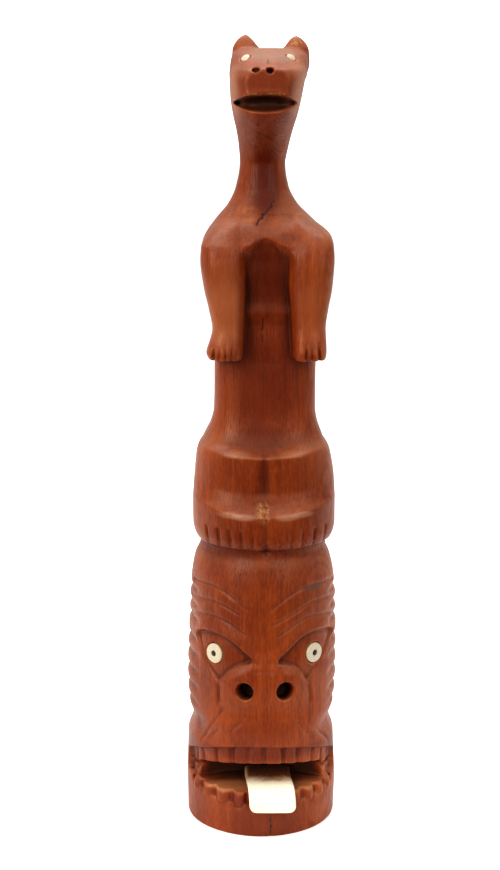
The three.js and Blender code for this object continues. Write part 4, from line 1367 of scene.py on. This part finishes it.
def growth_layers_group():
    """Yearly layers round a pith that lies outside the pole and leans, so that they show as long lines on an
    upright face and as close curves on a slope."""
    tree, nodes, given, result = new_group(
        "growth layers",
        [
            ("Vector", "NodeSocketVector", None),
            ("Layers per Metre", "NodeSocketFloat", 1050.0),
            ("Waviness", "NodeSocketFloat", 0.0006),
        ],
        ["Late Wood", "Early Wood"],
    )
    slow = nodes.add("ShaderNodeTexNoise", in_Scale=26.0, in_Detail=3.0)
    nodes.link(nodes.stretched(given["Vector"], (1, 1, 0.28)), slow.inputs["Vector"])
    pushed = nodes.vector("SUBTRACT", slow.outputs["Color"], (0.5, 0.5, 0.5))
    pushed = nodes.vector("SCALE", pushed, nodes.math("MULTIPLY", given["Waviness"], 4.0))
    x, y, z = nodes.apart(nodes.vector("ADD", given["Vector"], pushed))
    x = nodes.math("MULTIPLY_ADD", z, PITH["lean"], nodes.math("SUBTRACT", x, PITH["x"]))
    y = nodes.math("SUBTRACT", y, PITH["y"])
    distance = nodes.math("SQRT", nodes.math("MULTIPLY_ADD", x, x, nodes.math("MULTIPLY", y, y)))
    phase = nodes.math("FRACT", nodes.math("MULTIPLY", distance, given["Layers per Metre"]))
    nodes.link(nodes.spread(phase, 0.52, 0.93), result["Late Wood"])
    nodes.link(nodes.spread(phase, 0.35, 0.02), result["Early Wood"])
    return tree


def pores_group():
    """Short dark vessels along the grain, and the long streaks that the stain makes of it."""
    tree, nodes, given, result = new_group(
        "pores along the grain",
        [("Vector", "NodeSocketVector", None), ("Across per Metre", "NodeSocketFloat", 2100.0)],
        ["Pores", "Streaks"],
    )
    along_grain = nodes.stretched(given["Vector"], (1, 1, 0.07))
    pore = nodes.noise(along_grain, given["Across per Metre"], 1.0, 0.4)
    nodes.link(nodes.spread(pore, 0.58, 0.72), result["Pores"])
    long_grain = nodes.stretched(given["Vector"], (1, 1, 0.035))
    nodes.link(nodes.noise(long_grain, 420.0, 3.0, 0.6), result["Streaks"])
    return tree


def handling_group():
    """Rubbed and grubby patches from years of handling, and faint scratches."""
    tree, nodes, given, result = new_group(
        "signs of handling",
        [("Vector", "NodeSocketVector", None), ("Patch Scale", "NodeSocketFloat", 60.0)],
        ["Rubbed", "Grime", "Scratches"],
    )
    patch = nodes.noise(given["Vector"], given["Patch Scale"], 4.0, 0.62)
    nodes.link(nodes.spread(patch, 0.48, 0.66), result["Rubbed"])
    nodes.link(nodes.spread(patch, 0.52, 0.36), result["Grime"])
    lines = nodes.add("ShaderNodeTexNoise", in_Scale=900.0, in_Detail=2.0, in_Distortion=0.4)
    nodes.link(nodes.stretched(given["Vector"], (0.12, 1.0, 0.5)), lines.inputs["Vector"])
    nodes.link(nodes.spread(lines.outputs["Fac"], 0.64, 0.7), result["Scratches"])
    return tree


def use(nodes, tree, vector, **values):
    """Places a group in a material with its own values."""
    node = nodes.add("ShaderNodeGroup")
    node.node_tree = tree
    nodes.link(vector, node.inputs["Vector"])
    for name, value in values.items():
        node.inputs[name.replace("_", " ")].default_value = value
    return node.outputs


def new_material(name):
    """A material, the calls that build its nodes, its shader, and the place of each point on the piece."""
    material = bpy.data.materials.new(name)
    material.use_nodes = True
    nodes = Nodes(material.node_tree)
    shader = material.node_tree.nodes["Principled BSDF"]
    return material, nodes, shader, nodes.add("ShaderNodeTexCoord").outputs["Object"]


def finish(nodes, shader, colour, rough, bump):
    """Gives a shader its colour, roughness and bump."""
    nodes.link(colour, shader.inputs["Base Color"])
    nodes.link(rough, shader.inputs["Roughness"])
    nodes.link(bump, shader.inputs["Normal"])


def dark_line_group():
    """A thin ragged line between two points, as a crack or a scratch makes."""
    tree, nodes, given, result = new_group(
        "ragged line",
        [
            ("Vector", "NodeSocketVector", None),
            ("From", "NodeSocketVector", None),
            ("To", "NodeSocketVector", None),
            ("Width", "NodeSocketFloat", 0.001),
        ],
        ["Line"],
    )
    ahead = nodes.vector("SUBTRACT", given["To"], given["From"])
    here = nodes.vector("SUBTRACT", given["Vector"], given["From"])
    share = nodes.math(
        "DIVIDE", nodes.vector("DOT_PRODUCT", here, ahead), nodes.vector("DOT_PRODUCT", ahead, ahead)
    )
    share = nodes.math("MINIMUM", nodes.math("MAXIMUM", share, 0.0), 1.0)
    off = nodes.vector("LENGTH", nodes.vector("SUBTRACT", here, nodes.vector("SCALE", ahead, share)))
    ragged = nodes.math("SUBTRACT", nodes.noise(given["Vector"], 900.0, 2.0, 0.6), 0.5)
    off = nodes.math("MULTIPLY_ADD", ragged, 0.0013, off)
    nodes.link(nodes.spread(nodes.math("DIVIDE", off, given["Width"]), 0.55, 0.25), result["Line"])
    return tree


def near_point(nodes, place, middle, size):
    """1 in the middle of a soft egg-shaped patch, 0 outside it. Its middle and half sizes are in
    millimetres."""
    scale = tuple(1 / (half * MM) for half in size)
    shift = tuple(-at * MM * times for at, times in zip(middle, scale))
    return nodes.spread(nodes.vector("LENGTH", nodes.stretched(place, scale, shift)), 1.0, 0.35)


# The colours of the stained wood: the stain in the grain, then what has gone on and off it since, and the
# painted sheen, highlights and shade laid over it.
WOOD = {
    "deep stain": (0.245, 0.046, 0.0080),
    "thin stain": (0.345, 0.074, 0.0125),
    "dark streak": (0.150, 0.024, 0.0050),
    "light streak": (0.46, 0.120, 0.026),
    "late wood": (0.125, 0.020, 0.0045),
    "early wood": (0.44, 0.120, 0.030),
    "pore": (0.050, 0.009, 0.003),
    "dark fleck": (0.145, 0.026, 0.008),
    "light fleck": (0.48, 0.165, 0.055),
    "rubbed": (0.40, 0.108, 0.026),
    # painted sheen on what looks up, pale and greyish
    "painted_sheen": (0.37, 0.150, 0.075),
    "greyed": (0.25, 0.125, 0.085),
    # edges: paler from wear, with a painted highlight
    "worn and lit edge": (0.50, 0.19, 0.075),
    # painted shade: darker in hollows, in creases and deep in cuts
    "hollow": (0.095, 0.013, 0.0040),
    "crease": (0.050, 0.009, 0.004),
    "painted shade in cuts": (0.070, 0.027, 0.014),
    "under the wax": (0.90, 0.91, 0.94),
    "bare": (0.46, 0.26, 0.115),
    "knot": (0.48, 0.160, 0.034),
    "crack": (0.040, 0.015, 0.009),
}
CREAM = {
    "light": (0.92, 0.89, 0.76),
    "deep": (0.87, 0.84, 0.67),
    "grime": (0.70, 0.56, 0.34),
    "eyes": (0.54, 0.48, 0.37),
    "tide": (0.50, 0.27, 0.11),
    # stain, with a painted shadow of the upper lip and teeth
    "in the mouth": (0.170, 0.055, 0.022),
}
PITH = {"x": -0.078, "y": 0.064, "lean": 0.05}  # the middle of the log's growth layers, in metres

# Patches where the wood is darker, paler or marked, in millimetres: the middle, half the size, how strong,
# and the colour. Those with a comment above them are painted shade, shadow, sheen, light or highlight. Left
# and right are as seen from the front.
PATCHES_AND_PAINTED_LIGHT = {
    "scratch on the right brow": ((20, -20, 99.5), (5.5, 12, 1.5), 0.6, (0.085, 0.07, 0.055)),
    "green dot between the eyes": ((-0.8, -13, 298.6), (1.2, 10, 1.6), 0.6, (0.11, 0.12, 0.075)),
    # painted shadow near the crown, right of its middle
    "painted shadow beside it": ((6.8, -13, 297.5), (3, 8, 2.5), 0.35, (0.1, 0.06, 0.05)),
    # painted shade in the grooves between the belly and the forelegs
    "painted shade in the groove left of the belly": ((-5.6, -16, 213), (1.6, 6, 11), 0.6, (0.055, 0.008, 0.003)),
    "painted shade in the groove right of the belly": ((9.8, -16, 211), (1.2, 6, 7), 0.5, (0.055, 0.008, 0.003)),
    "speck under the chin": ((-1.6, -18, 273.8), (1.1, 6, 0.9), 0.6, (0.07, 0.012, 0.005)),
    # painted shade in the hollow between the shins
    "between the shins": ((0.8, -20.5, 144), (3, 6, 10), 0.55, (0.085, 0.011, 0.003)),
    # painted shadow of the head on the front of the neck
    "painted shadow of the head on the neck": ((1, -11, 252), (8.8, 10, 20), 0.86, (0.1, 0.01, 0.002)),
    # painted light on the floor of the mouth, which looks up
    "painted light on the left half of the mouth's floor": ((-12, -21.5, 18.2), (17, 7, 2), 0.55, (0.5, 0.26, 0.13)),
    "painted light on the right half of the mouth's floor": ((17.5, -21.5, 18.2), (8, 7, 2), 0.45, (0.5, 0.24, 0.11)),
    # painted shade on the flat front of the muzzle, which catches no sheen
    "muzzle": ((0.8, -24, 288.9), (11.8, 2.2, 6.4), 0.8, (0.215, 0.044, 0.011)),
    # painted shade: the front of the foot is darker
    "painted shade on the front of the foot": ((3, -30, 5), (24, 12, 13), 0.72, (0.15, 0.03, 0.011)),
    "upper lip": ((0, -30, 43), (24, 8, 8), 0.4, (0.18, 0.034, 0.012)),
    # painted shade on the belly, in the recess under the arch between the forelegs
    "belly": ((2, -16.5, 216), (8.5, 4, 24), 0.6, (0.085, 0.011, 0.004)),
    # painted sheen on the cheeks of the animal
    "painted sheen on the right cheek of the animal": ((14.5, -15, 286), (9, 12, 14), 0.72, (0.44, 0.21, 0.13)),
    "painted sheen on the left cheek of the animal": ((-12, -14, 285), (7.5, 12, 14), 0.66, (0.42, 0.2, 0.12)),
    # painted sheen on the crown
    "crown": ((3, -8, 299), (16, 15, 6.5), 0.55, (0.31, 0.165, 0.11)),
    # painted shadow of the head on the throat
    "throat": ((1, -19.5, 275.8), (6, 6, 3.4), 0.35, (0.16, 0.022, 0.006)),
    # painted shade on the waist
    "waist": ((1, -14.5, 178), (20, 9, 26), 0.55, (0.12, 0.014, 0.004)),
    # painted shade on the lap
    "lap": ((1, -20, 156.5), (20, 12, 7), 0.45, (0.1, 0.018, 0.007)),
    # painted shadow of the upper lip on the upper teeth
    "upper teeth": ((0, -18, 33.5), (36, 30, 4.8), 0.62, (0.12, 0.016, 0.006)),
    # painted shade in the corners of the mouth
    "painted shade in the left corner of the jaw": ((-28, -10, 29), (5, 12, 9), 0.6, (0.08, 0.014, 0.006)),
    "painted shade in the right corner of the jaw": ((28.5, -10, 29), (5, 12, 9), 0.6, (0.08, 0.014, 0.006)),
    # painted shade on the lower teeth, under the upper lip
    "lower teeth": ((0, -29, 14.5), (34, 7, 4.4), 0.46, (0.14, 0.02, 0.008)),
    # painted light on the forelegs, stronger on the left where the window is
    "painted light on the left foreleg": ((-14, -20, 208), (9, 10, 26), 0.6, (0.4, 0.15, 0.066)),
    "painted light on the right foreleg": ((20, -20, 208), (9, 10, 26), 0.45, (0.38, 0.13, 0.05)),
    # painted highlights along the edges of the insteps
    "painted highlight on the left instep, inner end": ((-7, -29, 128.7), (6.8, 9, 1.8), 0.32, (0.6, 0.4, 0.3)),
    "painted highlight on the left instep, outer end": ((-12.5, -27, 129.2), (7, 9, 1.8), 0.28, (0.58, 0.37, 0.27)),
    "painted highlight on the right instep, inner end": ((10, -29, 128.6), (6.6, 9, 1.8), 0.3, (0.6, 0.4, 0.3)),
    "painted highlight on the right instep, outer end": ((16, -26, 129.3), (6.6, 9, 1.6), 0.32, (0.58, 0.37, 0.27)),
    # painted highlights along the thighs' edges
    "painted highlight on the left thigh's edge": ((-10, -25, 152), (9, 9, 2.6), 0.34, (0.54, 0.31, 0.215)),
    "painted highlight on the right thigh's edge": ((13.2, -25, 152.2), (9.5, 9, 2.6), 0.34, (0.54, 0.31, 0.215)),
}

# Spots of pale speckle, in millimetres: the middle, half the size, and how much of the speckle goes. Most are
# where the stain has gone; the one on the animal's lip is a painted highlight.
BARE_AND_LIT_SPOTS = {
    "between the insteps": ((0.6, -25.5, 130.4), (3.8, 8, 5.6), (0.42, 0.60)),
    # painted highlight: a speckled light line along the lip's edge
    "painted highlight along the animal's lip": ((1.2, -23.8, 284.6), (10.5, 3, 0.9), (0.42, 0.58)),
    "tip of the right ear": ((12.8, 1, 303), (3, 5, 2), (0.46, 0.60)),
}
KNOT = ((-4.6, -13.5, 241.2), (6.2, 10, 5.2))


def grain_colour(nodes, place, tone, layers, pores):
    """The stain in the grain: streaks, yearly layers, pores and fine flecks."""
    flecks = nodes.noise(nodes.stretched(place, (1, 1, 0.3)), 1150.0, 2.0, 0.6)
    colour = nodes.mix(nodes.spread(tone, 0.35, 0.65), WOOD["deep stain"], WOOD["thin stain"])
    for mask, strength, name in (
        (nodes.spread(pores["Streaks"], 0.44, 0.66), 0.40, "dark streak"),
        (nodes.spread(pores["Streaks"], 0.44, 0.28), 0.30, "light streak"),
        (layers["Late Wood"], 0.19, "late wood"),
        (layers["Early Wood"], 0.12, "early wood"),
        (pores["Pores"], 0.26, "pore"),
        (nodes.spread(flecks, 0.44, 0.66), 0.20, "dark fleck"),
        (nodes.spread(flecks, 0.50, 0.30), 0.12, "light fleck"),
    ):
        colour = nodes.tint(colour, mask, strength, WOOD[name])
    return colour


def aged_colour_with_painted_light(nodes, place, tone, handling, colour):
    """What the years have done, and the painted light laid over it: rubbed patches, a mottled painted sheen
    on what looks up, edges paler from wear and a painted highlight, and painted shade in hollows, creases and
    deep cuts."""
    colour = nodes.tint(colour, handling["Rubbed"], 0.26, WOOD["rubbed"])
    # painted sheen: what looks up is made paler and greyer, in mottled patches
    mottled = nodes.spread(nodes.noise(nodes.stretched(place, (1, 1, 0.5)), 130.0, 3.0, 0.6), 0.40, 0.62)
    painted_sheen = nodes.mix(mottled, WOOD["painted_sheen"], WOOD["greyed"])
    strength = nodes.spread(tone, 0.30, 0.60, 0.22, 0.46)
    colour = nodes.tint(colour, nodes.attribute("faces_up"), strength, painted_sheen)
    # wear and a painted highlight on edges; painted shade in hollows, creases and deep cuts
    for attribute, strength, name in (
        ("worn_and_lit_edge", 0.30, "worn and lit edge"),
        ("hollow", 0.68, "hollow"),
        ("crease", 0.30, "crease"),
        ("inside", 0.84, "painted shade in cuts"),
    ):
        colour = nodes.tint(colour, nodes.attribute(attribute), strength, WOOD[name])
    return nodes.mix(1.0, colour, WOOD["under the wax"], "MULTIPLY")


def bare_spots(nodes, place):
    """A fine speckle of unstained wood where the stain has been chipped and rubbed away, and a speckle of
    painted highlight along the animal's lip.
    """
    speckle = nodes.noise(nodes.stretched(place, (1, 1, 0.5)), 900.0, 4.0, 0.75)
    bare = 0.0
    for middle, size, (low, high) in BARE_AND_LIT_SPOTS.values():
        patch = near_point(nodes, place, middle, size)
        spot = nodes.math("MULTIPLY", patch, nodes.spread(speckle, low, high))
        bare = nodes.math("MAXIMUM", bare, spot)
    return bare


def cracked_colour(nodes, place, line_group, colour):
    """The dirt in the cracks, on the front of the wood only."""
    x, y, z = nodes.apart(place)
    for path, width, _, crack_y in CRACKS:
        on_crack = nodes.add("ShaderNodeCombineXYZ", in_Y=crack_y * MM)
        nodes.link(x, on_crack.inputs["X"])
        nodes.link(z, on_crack.inputs["Z"])
        front = nodes.spread(y, (crack_y + 8) * MM, (crack_y + 4) * MM)
        ends = [(at * MM, crack_y * MM, height * MM) for at, height in path]
        for start, end in zip(ends[:-1], ends[1:]):
            line = use(nodes, line_group, on_crack.outputs[0], From=start, To=end, Width=width * MM)
            colour = nodes.tint(colour, nodes.math("MULTIPLY", line["Line"], front), 0.72, WOOD["crack"])
    return colour


def stained_wood(groups):
    """Red-brown stained hardwood under old wax, worn and marked, with painted sheen, light and highlights
    where light falls, and painted shade and shadow in hollows and under its parts.
    """
    material, nodes, shader, place = new_material("stained waxed wood")
    layers = use(nodes, groups["layers"], place)
    pores = use(nodes, groups["pores"], place)
    handling = use(nodes, groups["handling"], place, Patch_Scale=38.0)
    tone = nodes.noise(nodes.stretched(place, (1, 1, 0.35)), 30.0, 3.0)
    bare = bare_spots(nodes, place)

    colour = grain_colour(nodes, place, tone, layers, pores)
    colour = aged_colour_with_painted_light(nodes, place, tone, handling, colour)
    # unstained wood, and a painted highlight on the animal's lip
    colour = nodes.tint(colour, bare, 0.75, WOOD["bare"])
    cloudy = nodes.spread(nodes.noise(place, 260.0, 3.0, 0.6), 0.36, 0.6)
    knot = nodes.math("MULTIPLY", near_point(nodes, place, *KNOT), cloudy)
    colour = nodes.tint(colour, knot, 0.52, WOOD["knot"])
    # marks, darker and paler patches, and painted shade, shadow, sheen, light and highlights
    for middle, size, strength, stain in PATCHES_AND_PAINTED_LIGHT.values():
        colour = nodes.tint(colour, near_point(nodes, place, middle, size), strength, stain)
    colour = cracked_colour(nodes, place, groups["line"], colour)

    rough = nodes.total(
        0.38,
        (pores["Pores"], 0.12),
        (nodes.attribute("hollow"), 0.16),
        (layers["Late Wood"], 0.10),
        (handling["Rubbed"], -0.07),
        (bare, 0.3),
    )
    height = nodes.total(
        0.0,
        (layers["Late Wood"], 0.35),
        (pores["Pores"], -0.6),
        (pores["Streaks"], 0.5),
        (handling["Scratches"], -0.12),
    )
    finish(nodes, shader, colour, rough, nodes.bump(height, 0.55, 0.00016))
    shader.inputs["Specular IOR Level"].default_value = 0.31
    shader.inputs["Coat Weight"].default_value = 0.05
    shader.inputs["Coat Roughness"].default_value = 0.32
    return material


def mouth_stain_and_shadow(nodes, place, colour):
    """Brown on the tongue where it goes into the mouth, behind a paler brown tide line: a stain, and a
    painted shadow of the upper lip and teeth. A strip down its left side is left out of the darkest part."""
    x, y, z = nodes.apart(place)
    ragged = nodes.math("SUBTRACT", nodes.noise(place, 130.0, 2.0, 0.5), 0.5)
    inward = nodes.math("MULTIPLY_ADD", ragged, 0.0080, y)
    on_tongue = nodes.spread(z, 0.05, 0.03)
    tide = nodes.math("MULTIPLY", nodes.spread(inward, -0.0262, -0.0222), on_tongue)
    colour = nodes.tint(colour, tide, 0.62, CREAM["tide"])
    off_the_strip = nodes.math("MULTIPLY", on_tongue, nodes.spread(x, -0.0066, -0.0046))
    # the darkest part: brown stain and a painted shadow of the upper lip and teeth
    inside = nodes.math("MULTIPLY", nodes.spread(inward, -0.0256, -0.0190), off_the_strip)
    return nodes.tint(colour, inside, 0.92, CREAM["in the mouth"])


def cream_inlay(groups):
    """Polished cream inlay with a fine grain, duller in the eyes than in the tongue."""
    material, nodes, shader, place = new_material("polished cream inlay")
    handling = use(nodes, groups["handling"], place, Patch_Scale=160.0)
    grain = nodes.noise(nodes.stretched(place, (1, 1, 0.22)), 900.0, 3.0, 0.55)
    colour = nodes.mix(nodes.spread(grain, 0.3, 0.75), CREAM["deep"], CREAM["light"])
    colour = nodes.tint(colour, handling["Grime"], 0.16, CREAM["grime"])
    _, _, z = nodes.apart(place)
    colour = nodes.tint(colour, nodes.spread(z, 0.04, 0.06), 0.85, CREAM["eyes"])
    colour = mouth_stain_and_shadow(nodes, place, colour)
    rough = nodes.total(0.26, (handling["Grime"], 0.2))
    height = nodes.total(0.0, (grain, 1.0), (handling["Scratches"], -0.5))
    finish(nodes, shader, colour, rough, nodes.bump(height, 0.12, 0.00004))
    shader.inputs["Subsurface Weight"].default_value = 0.12
    shader.inputs["Subsurface Scale"].default_value = 0.002
    return material


def dark_plug(groups):
    """The nearly black plugs of the pupils."""
    material, nodes, shader, place = new_material("dark pupil plug")
    handling = use(nodes, groups["handling"], place, Patch_Scale=400.0)
    colour = nodes.mix(handling["Rubbed"], (0.022, 0.018, 0.014), (0.055, 0.042, 0.030))
    rough = nodes.total(0.3, (handling["Grime"], 0.25))
    finish(nodes, shader, colour, rough, nodes.bump(handling["Scratches"], 0.2, 0.00004))
    return material


def pale_floor():
    """A nearly white floor that looks a little brighter than the lamps make it."""
    material, nodes, shader, place = new_material("pale floor")
    colour = nodes.mix(nodes.noise(place, 3.0), (0.93, 0.94, 0.96), (0.95, 0.96, 0.98))
    nodes.link(colour, shader.inputs["Base Color"])
    shader.inputs["Roughness"].default_value = 0.8
    seen = nodes.add("ShaderNodeLightPath").outputs["Is Camera Ray"]
    nodes.link(nodes.math("MULTIPLY", seen, 0.16), shader.inputs["Emission Strength"])
    shader.inputs["Emission Color"].default_value = (1, 1, 1, 1)
    return material


# ---------------------------------------------------------------- floor, light and camera
# A lamp: its place, the height that it is turned to, its width, height and power, and its colour.
LAMPS = {
    "lamp above": ((-0.05, 0.2, 1.15), 0.15, 0.9, 0.9, 5.0, (1, 1, 1)),
    "window to the left": ((-0.66, -0.70, 0.54), 0.22, 0.5, 0.8, 5.4, (1.0, 0.89, 0.74)),
    "fill from the right": ((0.55, -0.75, 0.50), 0.24, 0.5, 0.7, 2.0, (1.0, 0.94, 0.86)),
}
CAMERA_LOOKS_DOWN = 12.16  # degrees


def make_floor():
    """A wide floor that begins just in front of the pole."""
    reach, front = 6.0, -0.12
    corners = [(-reach, front, 0), (reach, front, 0), (reach, reach, 0), (-reach, reach, 0)]
    mesh = bpy.data.meshes.new("floor")
    mesh.from_pydata(corners, [], [(0, 1, 2, 3)])
    mesh.materials.append(pale_floor())
    new_object("floor", mesh)


def make_sky():
    """White above, behind and to the sides, and dim towards the front, as in a white room with the side
    that is looked from in shade. Seen directly it is plain white."""
    world = bpy.data.worlds.new("white room")
    bpy.context.scene.world = world
    world.use_nodes = True
    nodes = Nodes(world.node_tree)
    ground = world.node_tree.nodes["Background"]
    x, y, z = nodes.apart(nodes.add("ShaderNodeTexCoord").outputs["Generated"])
    to_front = nodes.spread(y, 0.2, -0.75, 0.58, 0.47)
    overhead = nodes.spread(z, 0.35, 0.95, 1.0, 1.5)
    to_side = nodes.spread(x, -0.8, 0.8, 1.0, 0.96)
    above_ground = nodes.spread(z, -0.25, 0.0, 0.05, 1.0)
    strength = nodes.math("MULTIPLY", nodes.math("MULTIPLY", to_front, overhead), to_side)
    strength = nodes.math("MULTIPLY", strength, above_ground)
    seen = nodes.add("ShaderNodeLightPath").outputs["Is Camera Ray"]
    unseen = nodes.math("SUBTRACT", 1.0, seen)
    shown = nodes.math("MULTIPLY_ADD", seen, 1.4, nodes.math("MULTIPLY", unseen, strength))
    nodes.link(shown, ground.inputs["Strength"])
    nodes.link(nodes.mix(seen, (1.0, 0.98, 0.95), (1.0, 1.0, 1.0)), ground.inputs["Color"])


def soft_lamp(name, place, aim_height, width, height, power, colour):
    """A rectangular lamp turned to the pole at that height. Its sizes are in metres."""
    light = bpy.data.lights.new(name, "AREA")
    light.shape = "RECTANGLE"
    light.size = width
    light.size_y = height
    light.energy = power
    light.color = colour
    lamp = new_object(name, light)
    lamp.location = place
    lamp.rotation_mode = "QUATERNION"
    lamp.rotation_quaternion = (Vector((0, 0, aim_height)) - Vector(place)).to_track_quat("-Z", "Y")


def make_camera():
    """In front of the pole and a little above its top, looking down at its middle."""
    camera = bpy.data.cameras.new("camera")
    camera.lens = 65.67
    camera.sensor_width = 36.0
    camera.clip_start = 0.01
    held = new_object("camera", camera)
    held.location = (-0.0044, -0.6042, 0.285)
    held.rotation_euler = (math.radians(90 - CAMERA_LOOKS_DOWN), 0, 0)
    bpy.context.scene.camera = held


# ---------------------------------------------------------------- assembly
def place_piece(piece, node):
    """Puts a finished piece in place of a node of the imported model."""
    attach(piece, "root")
    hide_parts(node)


groups = {
    "layers": growth_layers_group(),
    "pores": pores_group(),
    "handling": handling_group(),
    "line": dark_line_group(),
}
wood = stained_wood(groups)
cream = cream_inlay(groups)
dark = dark_plug(groups)

place_piece(make_pole(wood), "pole")
place_piece(make_tongue(cream), "tongue")
for hand in ("left", "right"):
    eye, pupil, animal_eye = f"lower_eye_{hand}", f"lower_pupil_{hand}", f"upper_eye_{hand}"
    place_piece(lower_eye(eye, pupil, cream), eye)
    place_piece(lower_pupil(pupil, dark), pupil)
    place_piece(upper_eye(animal_eye, cream), animal_eye)

make_floor()
make_sky()
for lamp_name, lamp_settings in LAMPS.items():
    soft_lamp(lamp_name, *lamp_settings)
make_camera()
bpy.context.scene.view_settings.view_transform = "Standard"
bpy.context.scene.view_settings.look = "High Contrast"
